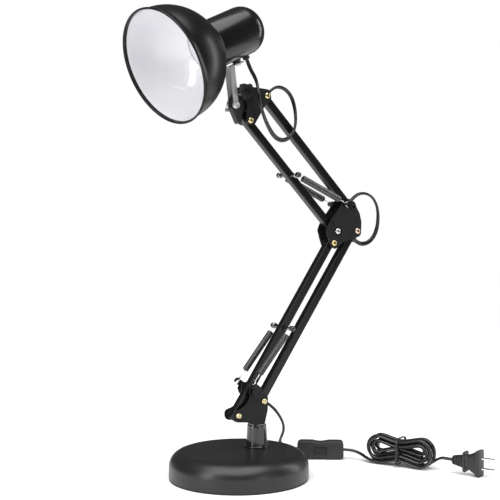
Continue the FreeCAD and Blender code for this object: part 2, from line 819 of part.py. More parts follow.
def yoke():
    leg_in = block_t / 2 + body_gap
    leg_out = leg_in + yoke_t
    foot_from = -14.5
    foot = slab([foot_corner(foot_from, boss_h + yoke_t), foot_corner(6.0, boss_h + yoke_t),
                 foot_corner(6.0, boss_h), foot_corner(foot_from, boss_h)], -leg_out, leg_out)
    top = pan_point + shade_back * (foot_from + yoke_leg_w / 2) - shade_up * boss_h
    eye = V(tilt_x, 0, tilt_z)
    line = unit(top - eye)
    side_way = V(-line.z, 0, line.x)
    pieces = [foot]
    for side in (-1, 1):
        a = eye + side_way * (yoke_leg_w / 2)
        b = top + side_way * (yoke_leg_w / 2)
        c = top - side_way * (yoke_leg_w / 2)
        d = eye - side_way * (yoke_leg_w / 2)
        corners = [(p.x, p.z, 0) for p in (a, b, c, d)]
        wire = Part.makePolygon([V(x, side * leg_in, z) for x, z, r in corners + corners[:1]])
        leg = Part.Face(wire).extrude(V(0, side * yoke_t, 0))
        leg = leg.fuse(rod(eye, yoke_eye_r, side * leg_in, side * leg_out))
        pieces.append(leg)
    body = fused(pieces)
    # trim what the legs' square ends leave above the foot
    over = slab([foot_corner(-40, boss_h), foot_corner(40, boss_h), foot_corner(40, -20), foot_corner(-40, -20)],
                -bracket_w, bracket_w)
    body = body.cut(over)
    body = body.cut(rod(eye, tilt_bolt_d / 2 + hole_gap, -bracket_w, bracket_w))
    hole = Part.makeCylinder(2.5 + hole_gap, 12, pan_point - shade_up * (boss_h + 6), shade_up)
    return body.cut(hole)


def yoke_bolt():
    eye = V(tilt_x, 0, tilt_z)
    face = block_t / 2 + body_gap + yoke_t
    head = rod(eye, 3.4, -face, -face - 2.4)
    hexagon = Part.makePolygon([V(eye.x + 2.0 * math.cos(math.radians(60 * i)), -face - 3.0,
                                  eye.z + 2.0 * math.sin(math.radians(60 * i))) for i in range(7)])
    head = head.cut(Part.Face(hexagon).extrude(V(0, 1.8, 0)))
    shank = rod(eye, tilt_bolt_d / 2, -face, face + 7.0)
    return head.fuse(shank).removeSplitter()


def wing_nut():
    eye = V(tilt_x, 0, tilt_z)
    face = block_t / 2 + body_gap + yoke_t + hole_gap
    hub = rod(eye, 3.6, face, face + 4.5)
    pieces = [hub]
    for way in (-1, 1):
        wing = Part.makeBox(wing_span / 2 - 1.5, 6.5, 1.8, V(1.5, face + 1.5, -0.9))
        tip = Part.makeCylinder(3.2, 1.8, V(wing_span / 2 - 3.2, face + 7.0, -0.9), V(0, 0, 1))
        turn = FreeCAD.Rotation(V(0, 1, 0), -75 + 90 * (1 - way))
        shape = posed(wing.fuse(tip), FreeCAD.Placement(V(0, 0, 0), turn))
        shape.translate(V(eye.x, 0, eye.z))
        pieces.append(shape)
    return fused(pieces).cut(rod(eye, tilt_bolt_d / 2 + pin_fit, 0, face + 30))


def pan_rivet():
    head = revolved([(0, -2.0), (2.6, -2.0), (4.4, -0.1, (4.0, -1.4)), (2.5, -0.1), (2.5, boss_h + yoke_t + 3.4), (0, boss_h + yoke_t + 3.4)])
    turn = FreeCAD.Rotation(V(0, 0, 1), shade_up)
    return posed(head, FreeCAD.Placement(pan_point - shade_up * (boss_h + yoke_t), turn))


# ---- shade, cap and lampholder: built about their own axis, mouth at zero, back upwards ----
def head_place():
    # turns the upright build onto the lamp, then pans it about the rivet
    frame = FreeCAD.Matrix(shade_up.x, 0, shade_back.x, 0, shade_up.y, -1, shade_back.y, 0,
                           shade_up.z, 0, shade_back.z, 0, 0, 0, 0, 1)
    rim = pan_point + shade_up * (cap_d / 2) - shade_back * pan_station
    upright = FreeCAD.Placement(frame)
    upright.Base = rim
    pan = FreeCAD.Placement(V(0, 0, 0), head_turn, pan_point)
    return pan.multiply(upright)


def dome_arc(r, from_r, to_r):
    # stations on the dome's arc: the middle and the end
    a0 = math.acos(min(1.0, from_r / r))
    a1 = math.acos(to_r / r)
    am = (a0 + a1) / 2
    return (to_r, dome_station + r * math.sin(a1), (r * math.cos(am), dome_station + r * math.sin(am)))


def shade():
    inner_r = dome_r - shade_wall
    neck_r = neck_d / 2
    neck_top = dome_station + math.sqrt(dome_r ** 2 - neck_r ** 2) + neck_len
    out_end = dome_arc(dome_r, dome_r, neck_r)
    in_neck = neck_r - shade_wall
    in_end_z = dome_station + math.sqrt(inner_r ** 2 - in_neck ** 2)
    mid = dome_arc(inner_r, inner_r, in_neck)
    rim_out = rim_d / 2
    shell = revolved([
        (rim_out - shade_wall, bead_r),
        (rim_out, bead_r),
        (dome_r, dome_station),
        out_end,
        (neck_r, neck_top),
        (holder_hole_d / 2, neck_top),
        (holder_hole_d / 2, neck_top - shade_wall),
        (in_neck, neck_top - shade_wall),
        (in_neck, in_end_z),
        (inner_r, dome_station, mid[2]),
    ])
    bead = Part.makeTorus(rim_out - bead_r, bead_r, V(0, 0, bead_r))
    return posed(fused([shell, bead]), head_place())


def neck_top_station():
    return dome_station + math.sqrt(dome_r ** 2 - (neck_d / 2) ** 2) + neck_len


def cap():
    r = cap_d / 2
    z0 = neck_top_station()
    z1 = shade_len - cap_edge_r
    e = cap_edge_r
    w = cap_wall
    k = math.sqrt(0.5)
    body = revolved([
        (r, z0),
        (r, z1),
        (r - e, z1 + e, (r - e + e * k, z1 + e * k)),
        (0, z1 + e),
        (0, z1 + e - w),
        (r - e, z1 + e - w),
        (r - w, z1, (r - e + (e - w) * k, z1 + (e - w) * k)),
        (r - w, z0),
    ])
    boss = Part.makeCylinder(5.2, boss_h + w - hole_gap, V(-(r + boss_h - hole_gap), 0, pan_station), V(1, 0, 0))
    body = body.fuse(boss)
    body = body.cut(Part.makeCylinder(2.5 + pin_fit, 12, V(-(r + boss_h + 2), 0, pan_station), V(1, 0, 0)))
    body = body.cut(Part.makeCylinder(grommet_d / 2 - 0.9, 8, V(-(r + 3), 0, cap_cord_station), V(1, 0, 0)))
    return posed(body.removeSplitter(), head_place())


def cord_grommet():
    r = cap_d / 2
    hole_r = cord_d / 2 + channel_gap
    collar = revolved([(hole_r, -grommet_h), (grommet_d / 2 - 0.8, -grommet_h), (grommet_d / 2, -grommet_h + 0.8),
                       (grommet_d / 2, -0.3), (grommet_d / 2 - 1.0, -0.3), (grommet_d / 2 - 1.0, cap_wall + 1.0),
                       (hole_r, cap_wall + 1.0)])
    turn = FreeCAD.Rotation(V(0, 0, 1), V(1, 0, 0))
    collar = posed(collar, FreeCAD.Placement(V(-r, 0, cap_cord_station), turn))
    return posed(collar, head_place())


def lampholder():
    z0 = holder_front
    z1 = holder_back
    flange = neck_top_station()
    bore = socket_d / 2 + socket_wall + hole_gap
    body = revolved([
        (bore, z0),
        (holder_d / 2 - 1.5, z0),
        (holder_d / 2, z0 + 1.5),
        (holder_d / 2, flange),
        (holder_d / 2 + 5.0, flange),
        (holder_d / 2 + 5.0, flange + 2.4),
        (holder_d / 2, flange + 2.4),
        (holder_d / 2, z1 - 8.0),
        (holder_d / 2 - 6.0, z1),
        (0, z1),
        (0, z0 + socket_len + 3.2),
        (4.0, z0 + socket_len + 3.2),
        (4.0, z0 + socket_len + 4.0),
        (bore, z0 + socket_len + 4.0),
    ])
    return posed(body, head_place())


def socket_shell():
    z0 = holder_front + 1.5
    r = socket_d / 2
    body = revolved([(r, z0), (r + socket_wall, z0), (r + socket_wall, z0 + socket_len), (r, z0 + socket_len)])
    return posed(body, head_place())


# ---- inline switch, standing on its edge beside the base ----
def floor_place(x, y, heading, height):
    return FreeCAD.Placement(V(x, y, height), FreeCAD.Rotation(V(0, 0, 1), heading))


def switch_outline(inset):
    # seen from the rocker's side: long sides drawn in a little at the waist
    a = switch_len / 2 - inset
    b = switch_w / 2 - inset
    w = switch_waist
    return [(-a, -b, 5.0), (-a * 0.35, -b, 14.0), (0, -b + w, 30.0), (a * 0.35, -b, 14.0), (a, -b, 5.0),
            (a, b, 5.0), (a * 0.35, b, 14.0), (0, b - w, 30.0), (-a * 0.35, b, 14.0), (-a, b, 5.0)]


def switch_place():
    return floor_place(switch_x, switch_y, switch_heading, switch_w / 2).multiply(
        FreeCAD.Placement(V(switch_len / 2, 0, 0), FreeCAD.Rotation()))


def switch_half(side):
    # side -1 is the rocker's half, +1 the back half
    seam = 0.0
    outer = slab(switch_outline(0), seam, side * switch_t / 2)
    rim = [e for e in outer.Edges if abs(e.BoundBox.YMin - side * switch_t / 2) < 1e-3
           and abs(e.BoundBox.YMax - side * switch_t / 2) < 1e-3]
    outer = outer.makeFillet(1.6, rim)
    hollow = slab([(x * 0.9, z * 0.84, r * 0.8) for x, z, r in switch_outline(0)], seam, side * (switch_t / 2 - 1.8))
    half = outer.cut(hollow)
    half = half.cut(Part.makeCylinder(cord_d / 2 + hole_gap, switch_len * 1.2, V(-switch_len * 0.6, 0, 0), V(1, 0, 0)))
    if side < 0:
        lining = rocker_block(rocker_gap + 1.6, -switch_t / 2 + 1.0, -2.2)
        half = half.fuse(lining).cut(rocker_block(rocker_gap, -switch_t, 0))
        half = half.cut(rocker_block(2.4, -switch_t / 2 - 1, -switch_t / 2 + rocker_sink, 2.4))
        half = half.cut(rocker_pivot(pin_fit))
    return posed(half, switch_place())


def rocker_block(margin, y0, y1, r=1.0):
    a = rocker_len / 2 + margin
    b = rocker_w / 2 + margin
    return slab([(-a, -b, r), (a, -b, r), (a, b, r), (-a, b, r)], y0, y1)


def rocker_pivot(extra):
    y = -switch_t / 2 + rocker_sink + rocker_pivot_depth
    half_len = rocker_w / 2 + rocker_gap + 1.0 + extra
    return Part.makeCylinder(1.0 + extra, 2 * half_len, V(0, y, -half_len), V(0, 0, 1))


def rocker():
    # its face is two shallow slopes that meet over the pivot
    face = -switch_t / 2 + rocker_sink
    a = rocker_len / 2
    depth = 3.0
    wire = Part.makePolygon([V(-a, face + 0.5, 0), V(0, face - 0.1, 0), V(a, face - rocker_rise, 0),
                             V(a, face + depth - 0.8, 0), V(0, face + depth, 0), V(-a, face + depth, 0),
                             V(-a, face + 0.5, 0)])
    body = Part.Face(wire).extrude(V(0, 0, rocker_w))
    body.translate(V(0, 0, -rocker_w / 2))
    return posed(body.fuse(rocker_pivot(0)), switch_place())


# ---- free cord: the line each loop hangs on, between its two straight ends ----
# past the near side of the top bracket, then over the tube to its end
head_route = [
    (-6, -1.4, 492.2), (-6, -7.3, 486.1), (-7.5, -13.7, 480.7), (-9.5, -19.5, 474.8),
    (-11, -23.8, 467.7), (-11.2, -26.2, 459.5), (-9.8, -26.8, 451.2), (-6.9, -26.3, 443.2),
    (-3.1, -25, 435.7), (1.4, -23.5, 428.7), (6.5, -21.8, 422.1), (12.3, -19.8, 416.2),
    (19.2, -17.7, 411.7), (27.3, -15.8, 409.7), (35.5, -14.2, 411), (42.6, -13.1, 415.4),
    (47.8, -12.2, 422.1), (50.9, -11, 430), (52.5, -9.1, 438.1), (53.4, -6.7, 446.2),
    (53.4, -4.2, 454.3), (51.8, -2.2, 462.4), (47.7, -0.7, 469.7), (40.9, -0, 474.7),
    (32.5, 0.1, 476.2),
]
elbow_route = [
    (157.8, -0.3, 344.7), (166.2, -0.8, 344.9), (174.2, -1.4, 341.9), (180.3, -1.8, 336),
    (184.1, -2.1, 328.4), (185.8, -2.2, 320.1), (186, -2.2, 311.6), (185.1, -2.1, 303.1),
    (182.8, -1.8, 294.9), (178.6, -1.4, 287.5), (172.4, -0.9, 281.8), (164.3, -0.3, 279.1),
]
lead_route = [
    (26.5, 1.7, 77.4), (32.5, 4.5, 72), (38.2, 7.7, 66.5), (43.5, 11.3, 60.8),
    (48.3, 15.2, 55), (52.4, 19.8, 49.1), (55.5, 24.9, 43.1), (57.6, 30.6, 37.1),
    (59.1, 36.6, 31.3), (61.1, 42.4, 25.3), (65.7, 46.5, 19.4), (72.7, 47.6, 14.7),
]


def grommet_mouth(start, angle, x):
    place = link_place(start, angle)
    return place.multVec(V(x, 0, -(half_tube + grommet_h)))


def grommet_out(start, angle):
    return link_place(start, angle).Rotation.multVec(V(0, 0, -1))


def cap_mouth(reach):
    return head_place().multVec(V(-(cap_d / 2 + grommet_h + reach), 0, cap_cord_station))


def free_cord(first, first_way, route, last, last_way, name):
    points = [first, first + first_way * cord_step] + [V(*p) for p in route]
    points += [last + last_way * cord_step, last]
    print(name, "route", [(round(p.x + stem_x, 1), round(p.y + stem_y, 1), round(p.z, 1)) for p in points])
    return pipe(tangent_path(points, name), cord_d / 2, name)


def cord_head():
    first = cap_mouth(0)
    last = grommet_mouth(elbow_up_back, upper_angle, upper_len - grommet_inset)
    return free_cord(first, unit(cap_mouth(1) - first), head_route, last,
                     grommet_out(elbow_up_back, upper_angle), "cord_head")


def cord_elbow():
    first = grommet_mouth(elbow_up_back, upper_angle, grommet_inset)
    last = grommet_mouth(lower_back, lower_angle, lower_len - elbow_entry_inset)
    return free_cord(first, grommet_out(elbow_up_back, upper_angle), elbow_route, last,
                     grommet_out(lower_back, lower_angle), "cord_elbow")


def switch_end(way):
    return switch_place().multVec(V(way * switch_len / 2, 0, 0)) - V(stem_x, stem_y, 0)


def switch_way():
    a = math.radians(switch_heading)
    return V(math.cos(a), math.sin(a), 0)


def cord_lead():
    first = grommet_mouth(lower_back, lower_angle, grommet_inset)
    return free_cord(first, grommet_out(lower_back, lower_angle), lead_route, switch_end(-1),
                     switch_way() * -1, "cord_lead")


def plug_place():
    return floor_place(plug_x, plug_y, plug_heading, plug_w / 2)


def hank_nodes():
    # runs go out along the bottom and home along the top, spiral in and out again,
    # and climb to the next layer along every fourth run
    turn = FreeCAD.Rotation(V(0, 0, 1), hank_heading)
    tall = hank_inner + 4 * hank_step
    centre = V(hank_x, hank_y, tall + cord_d / 2)
    ahead = turn.multVec(V(1, 0, 0))
    nodes = []

    def at(h, depth, z):
        return centre + turn.multVec(V(h, depth, 0)) + V(0, 0, z)

    for j in range(hank_runs):
        phase = j % 8
        w = hank_inner + hank_step * abs(4 - phase)
        layer = j // 4
        climb = 1 if j % 4 == 0 and j > 0 else 0
        d0 = (layer - climb - 1.5) * hank_layer
        d1 = (layer - 1.5) * hank_layer
        if j == hank_runs - 1:
            d0 = d1 = (layer - 1 - 1.5) * hank_layer
        way = 1 if j % 2 == 0 else -1
        z = -w if way > 0 else w
        z_mid = -(w - hank_pinch) if way > 0 else w - hank_pinch
        heading = ahead * way
        nodes.append((at(-way * hank_half, d0, z), heading))
        nodes.append((at(0, (d0 + d1) / 2, z_mid), heading))
        nodes.append((at(way * hank_half, d1, z), heading))
    return nodes, at, ahead


def cord_hank():
    nodes, at, ahead = hank_nodes()
    start = switch_place().multVec(V(switch_len / 2, 0, 0))
    way = switch_way()
    lead = [(start, way), (start + way * cord_d, way)]
    first = nodes[0][0]
    entry = first - ahead * 22.0
    lead.append((entry, ahead))
    plug = plug_place()
    end = plug.multVec(V(0, 0, 0))
    end_way = plug.Rotation.multVec(V(1, 0, 0))
    last = nodes[-1][0]
    tail = [(last + ahead * 4.0, ahead), (end - end_way * cord_d, end_way), (end, end_way)]
    edges = biarc_path(lead + nodes + tail)
    least_gap(edges, cord_d, 4 * cord_d, "cord_hank")
    return pipe(edges, cord_d / 2, "cord_hank")


def hank_tie():
    # a wire tie wound once round the waist, its two ends twisted together and bent down
    nodes, at, ahead = hank_nodes()
    tall = hank_inner + 4 * hank_step
    high = tall - hank_step - hank_pinch + cord_d / 2 + 1.2
    low = -(tall - hank_pinch) - cord_d / 2 - 1.2
    wide = 1.5 * hank_layer + cord_d / 2 + 1.2
    turn = FreeCAD.Rotation(V(0, 0, 1), hank_heading)
    r = 5.0
    corners = [(-wide, low, r), (wide, low, r), (wide, high, r), (-wide, high, r)]
    outer = slab([(x + math.copysign(0.8, x), z + math.copysign(0.8, z), c) for x, z, c in corners], -1.5, 1.5)
    inner = slab([(x, z, c - 0.8) for x, z, c in corners], -3, 3)
    band = outer.cut(inner)
    tail = Part.makeBox(1.4, 3.0, 9.0, V(-wide - 2.2, -1.5, low - 1.0))
    band = band.fuse(tail).removeSplitter()
    # the outline lies in XZ with its long side across the hank: turn it to face along the hank
    band = posed(band, FreeCAD.Placement(V(0, 0, 0), FreeCAD.Rotation(V(0, 0, 1), 90)))
    band = posed(band, FreeCAD.Placement(V(hank_x, hank_y, tall + cord_d / 2), turn))
    return band


# ---- plug, standing on its edge: body along +X, blades one above the other ----
def plug_section(x, half_w, half_t, r):
    corners = [(-half_t, -half_w, r), (half_t, -half_w, r), (half_t, half_w, r), (-half_t, half_w, r)]
    wire = Part.Wire(rounded_edges(corners))
    wire = wire.transformed(FreeCAD.Placement(V(x, 0, 0), FreeCAD.Rotation(V(0, 0, 1), 90)).toMatrix())
    return wire


def plug_body():
    # ribbed strain relief, thumb collar, tapered grip and wider nose
    w = plug_w / 2
    t = plug_t / 2
    pieces = [Part.makeCylinder(cord_d / 2 + 1.0, 16.0, V(0, 0, 0), V(1, 0, 0))]
    for i in range(3):
        pieces.append(Part.makeLoft([plug_section(1.0 + 5.0 * i, 6.6 + 0.7 * i, 4.6 + 0.5 * i, 3.0),
                                     plug_section(4.2 + 5.0 * i, 6.9 + 0.7 * i, 4.8 + 0.5 * i, 3.0)], True, True))
    pieces.append(Part.makeLoft([plug_section(15.5, w * 0.76, t * 0.86, 3.0),
                                 plug_section(18.5, w * 0.80, t * 0.90, 3.0)], True, True))
    pieces.append(Part.makeLoft([plug_section(18.0, w * 0.52, t * 0.72, 4.0),
                                 plug_section(33.0, w * 0.86, t, 4.0)], True, True))
    pieces.append(Part.makeLoft([plug_section(32.5, w * 0.94, t, 3.0), plug_section(38.0, w, t, 3.0)], True, True))
    body = fused(pieces)
    body = body.cut(Part.makeCylinder(cord_d / 2 + hole_gap, 0.4, V(-0.2, 0, 0), V(1, 0, 0)))
    return posed(body, plug_place())


def plug_blades():
    blades = []
    for side in (-1, 1):
        blade = slab([(38.0, side * blade_pitch / 2 - blade_t / 2, 0.2), (38.0 + blade_len, side * blade_pitch / 2 - blade_t / 2, 0.6),
                      (38.0 + blade_len, side * blade_pitch / 2 + blade_t / 2, 0.6), (38.0, side * blade_pitch / 2 + blade_t / 2, 0.2)],
                     -blade_w / 2, blade_w / 2)
        hole = Part.makeCylinder(1.5, plug_w * 2, V(38.0 + blade_len - 4.0, 0, -plug_w), V(0, 0, 1))
        blades.append(blade.cut(hole))
    return posed(group(blades), plug_place())


# ---- every node, and whether it is built about the stem's axis ----
lower_pivots = [lower_front, lower_back]
elbow_pivots = [elbow_low_front, elbow_low_back, elbow_up_front, elbow_up_back]
top_pivots = [top_front, top_back]
lower_insets = (grommet_inset, lower_len - elbow_entry_inset)
upper_insets = (grommet_inset, upper_len - grommet_inset)
hook_eye = V(hook_x, 0, hook_z)
stud_eye = V(stud_x, 0, stud_z)

nodes = [
    ("base_shell", base_shell, False),
    ("base_weight", base_weight, False),
    ("base_pad", base_pad, False),
    ("stem_post", stem_post, False),
    ("stem_bolt", stem_bolt, False),
    ("swivel_washer", swivel_washer, False),
    ("swivel_peg", swivel_peg, True),
    ("lower_bracket", lower_bracket, True),
    ("lower_spring_hooks", spring_hooks, True),
    ("lower_pivot_screws", lambda: pivot_screws(lower_pivots), True),
    ("lower_spacers", lambda: pivot_spacers(lower_pivots), True),
    ("lower_front_tube", lambda: link_tube(lower_front, lower_angle, lower_len, lower_pin_place), True),
    ("lower_front_bushes", lambda: end_bushes(lower_front, lower_angle, lower_len, True), True),
    ("lower_back_tube", lambda: link_tube(lower_back, lower_angle, lower_len, None, lower_insets), True),
    ("lower_back_bushes", lambda: end_bushes(lower_back, lower_angle, lower_len, False, lower_insets), True),
    ("lower_cross_pin", lambda: cross_pin(lower_pin), True),
    ("lower_spring_near", lambda: spring(lower_pin, hook_eye, pin_d / 2, hook_outer_r, -1, "lower_spring_near"), True),
    ("lower_spring_far", lambda: spring(lower_pin, hook_eye, pin_d / 2, hook_outer_r, 1, "lower_spring_far"), True),
    ("elbow_plate_near", lambda: elbow_plate(-1), True),
    ("elbow_plate_far", lambda: elbow_plate(1), True),
    ("elbow_spacer", elbow_spacer, True),
    ("elbow_screws", lambda: pivot_screws(elbow_pivots), True),
    ("elbow_spacers", lambda: pivot_spacers(elbow_pivots), True),
    ("elbow_spring_studs", spring_studs, True),
    ("upper_front_tube", lambda: link_tube(elbow_up_front, upper_angle, upper_len, upper_pin_place), True),
    ("upper_front_bushes", lambda: end_bushes(elbow_up_front, upper_angle, upper_len, True), True),
    ("upper_back_tube", lambda: link_tube(elbow_up_back, upper_angle, upper_len, None, upper_insets), True),
    ("upper_back_bushes", lambda: end_bushes(elbow_up_back, upper_angle, upper_len, False, upper_insets), True),
    ("upper_cross_pin", lambda: cross_pin(upper_pin), True),
    ("upper_spring_near", lambda: spring(upper_pin, stud_eye, pin_d / 2, stud_d / 2, -1, "upper_spring_near"), True),
    ("upper_spring_far", lambda: spring(upper_pin, stud_eye, pin_d / 2, stud_d / 2, 1, "upper_spring_far"), True),
    ("top_plate_near", lambda: top_plate(-1), True),
    ("top_plate_far", lambda: top_plate(1), True),
    ("head_block", head_block, True),
    ("top_screws", lambda: pivot_screws(top_pivots), True),
    ("top_spacers", lambda: pivot_spacers(top_pivots), True),
    ("knob_bolt", knob_bolt, True),
    ("tension_knob", tension_knob, True),
    ("yoke", yoke, True),
    ("yoke_bolt", yoke_bolt, True),
    ("wing_nut", wing_nut, True),
    ("pan_rivet", pan_rivet, True),
    ("shade", shade, True),
    ("shade_cap", cap, True),
    ("lampholder", lampholder, True),
    ("socket_shell", socket_shell, True),
    ("cord_grommet", cord_grommet, True),
    ("cord_head", cord_head, True),
    ("cord_upper_run", lambda: cord_run(elbow_up_back, upper_angle, upper_len, upper_insets, "cord_upper_run"), True),
    ("cord_elbow", cord_elbow, True),
    ("cord_lower_run", lambda: cord_run(lower_back, lower_angle, lower_len, lower_insets, "cord_lower_run"), True),
    ("cord_lead", cord_lead, True),
    ("switch_front", lambda: switch_half(-1), False),
    ("switch_back", lambda: switch_half(1), False),
    ("switch_rocker", rocker, False),
    ("cord_hank", cord_hank, False),
    ("hank_tie", hank_tie, False),
    ("plug_body", plug_body, False),
    ("plug_blades", plug_blades, False),
]

os.makedirs("parts", exist_ok=True)
for name, make, on_stem in nodes:
    shape = make()
    if on_stem:
        shape.translate(V(stem_x, stem_y, 0))
    box = shape.BoundBox
    print(name, "solids", len(shape.Solids), "valid", shape.isValid(), "volume", round(shape.Volume, 1),
          "x", round(box.XMin, 1), round(box.XMax, 1), "y", round(box.YMin, 1), round(box.YMax, 1),
          "z", round(box.ZMin, 1), round(box.ZMax, 1))
    shape.exportStep("parts/" + name + ".step")
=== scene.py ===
import math

import bmesh
import bpy
from mathutils import Matrix, Vector


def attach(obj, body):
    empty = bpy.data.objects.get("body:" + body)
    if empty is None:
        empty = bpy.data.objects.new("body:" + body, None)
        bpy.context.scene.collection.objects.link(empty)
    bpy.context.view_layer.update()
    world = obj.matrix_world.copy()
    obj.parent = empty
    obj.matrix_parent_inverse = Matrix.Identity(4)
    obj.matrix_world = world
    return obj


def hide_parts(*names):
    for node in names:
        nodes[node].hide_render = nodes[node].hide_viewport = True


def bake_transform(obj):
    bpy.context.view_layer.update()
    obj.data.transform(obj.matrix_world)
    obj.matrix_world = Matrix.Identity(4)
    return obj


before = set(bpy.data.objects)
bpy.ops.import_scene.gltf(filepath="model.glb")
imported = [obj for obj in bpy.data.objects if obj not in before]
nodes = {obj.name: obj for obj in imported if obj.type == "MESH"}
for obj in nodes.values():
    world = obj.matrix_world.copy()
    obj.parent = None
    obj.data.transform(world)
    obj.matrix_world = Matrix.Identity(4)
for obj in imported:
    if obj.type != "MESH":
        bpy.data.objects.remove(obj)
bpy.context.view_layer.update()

print("frame loaded:", len(nodes), "CAD nodes")

# places that several pieces share: the head in metres, the stem and the arms in millimetres
stemPlace = (30.6, 7.4)
headPose = dict(pitch=23.6, pan=7.8, pivot=(0.0033, 0.0074, 0.5048), capRadius=0.0294, reach=0.105)
stemAxis = Vector((stemPlace[0] / 1000, stemPlace[1] / 1000, 0))
pitch = math.radians(headPose["pitch"])
pan = math.radians(headPose["pan"])
shadeUp = Vector((-math.sin(pitch), 0, math.cos(pitch)))
shadeMouth = Vector((-math.cos(pitch) * math.cos(pan), -math.sin(pan), -math.sin(pitch) * math.cos(pan)))
panPoint = Vector(headPose["pivot"])
rimCentre = panPoint + shadeUp * headPose["capRadius"] + shadeMouth * headPose["reach"]


def armPoint(x, z, y):
    # from millimetres in the arm plane, measured from the stem's axis
    return Vector(((x + stemPlace[0]) / 1000, (y + stemPlace[1]) / 1000, z / 1000))


def stepAlong(start, length, angle):
    a = math.radians(angle)
    return (start[0] + length * math.cos(a), start[1] + length * math.sin(a))


arms = dict(lowerPivot=(-32.4, 75.9), lowerLength=250.3, lowerAngle=55.5, elbowStep=(5.7, 14.9),
            upperLength=187.5, upperAngle=133.5, lowerPinShare=0.50, upperPinShare=0.52)
elbowLow = stepAlong(arms["lowerPivot"], arms["lowerLength"], arms["lowerAngle"])
elbowUp = (elbowLow[0] + arms["elbowStep"][0], elbowLow[1] + arms["elbowStep"][1])


# shader groups: each puts out values or normals that change over the surface
def newGroup(name, inputs, outputs):
    group = bpy.data.node_groups.new(name, "ShaderNodeTree")
    for label, kind, value in inputs:
        socket = group.interface.new_socket(name=label, in_out="INPUT", socket_type=kind)
        socket.default_value = value
    for label, kind in outputs:
        group.interface.new_socket(name=label, in_out="OUTPUT", socket_type=kind)
    return group, group.nodes.new("NodeGroupInput"), group.nodes.new("NodeGroupOutput")


def addNode(tree, kind, links=None, **values):
    node = tree.nodes.new(kind)
    for key, value in values.items():
        setattr(node, key, value)
    for socket, source in (links or {}).items():
        if hasattr(source, "is_output"):
            tree.links.new(source, node.inputs[socket])
        else:
            node.inputs[socket].default_value = source
    return node


def makeGrainGroup():
    # powder coat, orange peel or moulded texture: a fine height and a matching unevenness of gloss
    group, gin, gout = newGroup("surfaceGrain", [
        ("Scale", "NodeSocketFloat", 900.0), ("Height", "NodeSocketFloat", 0.3),
        ("Roughness", "NodeSocketFloat", 0.4), ("Spread", "NodeSocketFloat", 0.08),
        ("Patches", "NodeSocketFloat", 22.0)],
        [("Roughness", "NodeSocketFloat"), ("Normal", "NodeSocketVector")])
    coord = addNode(group, "ShaderNodeTexCoord")
    fine = addNode(group, "ShaderNodeTexNoise", {
        "Vector": coord.outputs["Object"], "Scale": gin.outputs["Scale"], "Detail": 3.0, "Roughness": 0.55})
    broad = addNode(group, "ShaderNodeTexNoise", {
        "Vector": coord.outputs["Object"], "Scale": gin.outputs["Patches"], "Detail": 4.0,
        "Roughness": 0.6})
    bump = addNode(group, "ShaderNodeBump", {
        "Height": fine.outputs["Fac"], "Strength": gin.outputs["Height"], "Distance": 0.0002})
    centred = addNode(group, "ShaderNodeMath", {0: broad.outputs["Fac"], 1: 0.5}, operation="SUBTRACT")
    scaled = addNode(group, "ShaderNodeMath", {0: centred.outputs[0], 1: gin.outputs["Spread"]},
                     operation="MULTIPLY")
    doubled = addNode(group, "ShaderNodeMath", {0: scaled.outputs[0], 1: 2.0, 2: gin.outputs["Roughness"]},
                      operation="MULTIPLY_ADD", use_clamp=True)
    group.links.new(doubled.outputs[0], gout.inputs["Roughness"])
    group.links.new(bump.outputs["Normal"], gout.inputs["Normal"])
    return group


def makeWearGroup():
    # where an outer edge is rubbed: 1 on sharp edges, broken up by noise
    group, gin, gout = newGroup("edgeRub", [
        ("Amount", "NodeSocketFloat", 0.5), ("Scale", "NodeSocketFloat", 160.0)],
        [("Mask", "NodeSocketFloat")])
    geometry = addNode(group, "ShaderNodeNewGeometry")
    coord = addNode(group, "ShaderNodeTexCoord")
    noise = addNode(group, "ShaderNodeTexNoise", {
        "Vector": coord.outputs["Object"], "Scale": gin.outputs["Scale"], "Detail": 5.0, "Roughness": 0.65})
    edge = addNode(group, "ShaderNodeMapRange", {
        "Value": geometry.outputs["Pointiness"], "From Min": 0.515, "From Max": 0.60})
    broken = addNode(group, "ShaderNodeMapRange", {
        "Value": noise.outputs["Fac"], "From Min": 0.42, "From Max": 0.62})
    both = addNode(group, "ShaderNodeMath", {0: edge.outputs[0], 1: broken.outputs[0]},
                   operation="MULTIPLY")
    amount = addNode(group, "ShaderNodeMath", {0: both.outputs[0], 1: gin.outputs["Amount"]},
                     operation="MULTIPLY", use_clamp=True)
    group.links.new(amount.outputs[0], gout.inputs["Mask"])
    return group


def makeBrushGroup():
    # fine lines left by turning or brushing, stretched along one axis
    group, gin, gout = newGroup("brushedLines", [
        ("Scale", "NodeSocketFloat", 1500.0), ("Stretch", "NodeSocketVector", (1.0, 1.0, 0.05)),
        ("Height", "NodeSocketFloat", 0.2), ("Roughness", "NodeSocketFloat", 0.25),
        ("Spread", "NodeSocketFloat", 0.1)],
        [("Roughness", "NodeSocketFloat"), ("Normal", "NodeSocketVector")])
    coord = addNode(group, "ShaderNodeTexCoord")
    mapped = addNode(group, "ShaderNodeVectorMath", {0: coord.outputs["Object"], 1: gin.outputs["Stretch"]},
                     operation="MULTIPLY")
    lines = addNode(group, "ShaderNodeTexNoise", {
        "Vector": mapped.outputs[0], "Scale": gin.outputs["Scale"], "Detail": 2.0})
    bump = addNode(group, "ShaderNodeBump", {
        "Height": lines.outputs["Fac"], "Strength": gin.outputs["Height"], "Distance": 0.0001})
    rough = addNode(group, "ShaderNodeMath", {
        0: lines.outputs["Fac"], 1: gin.outputs["Spread"], 2: gin.outputs["Roughness"]},
                    operation="MULTIPLY_ADD", use_clamp=True)
    group.links.new(rough.outputs[0], gout.inputs["Roughness"])
    group.links.new(bump.outputs["Normal"], gout.inputs["Normal"])
    return group


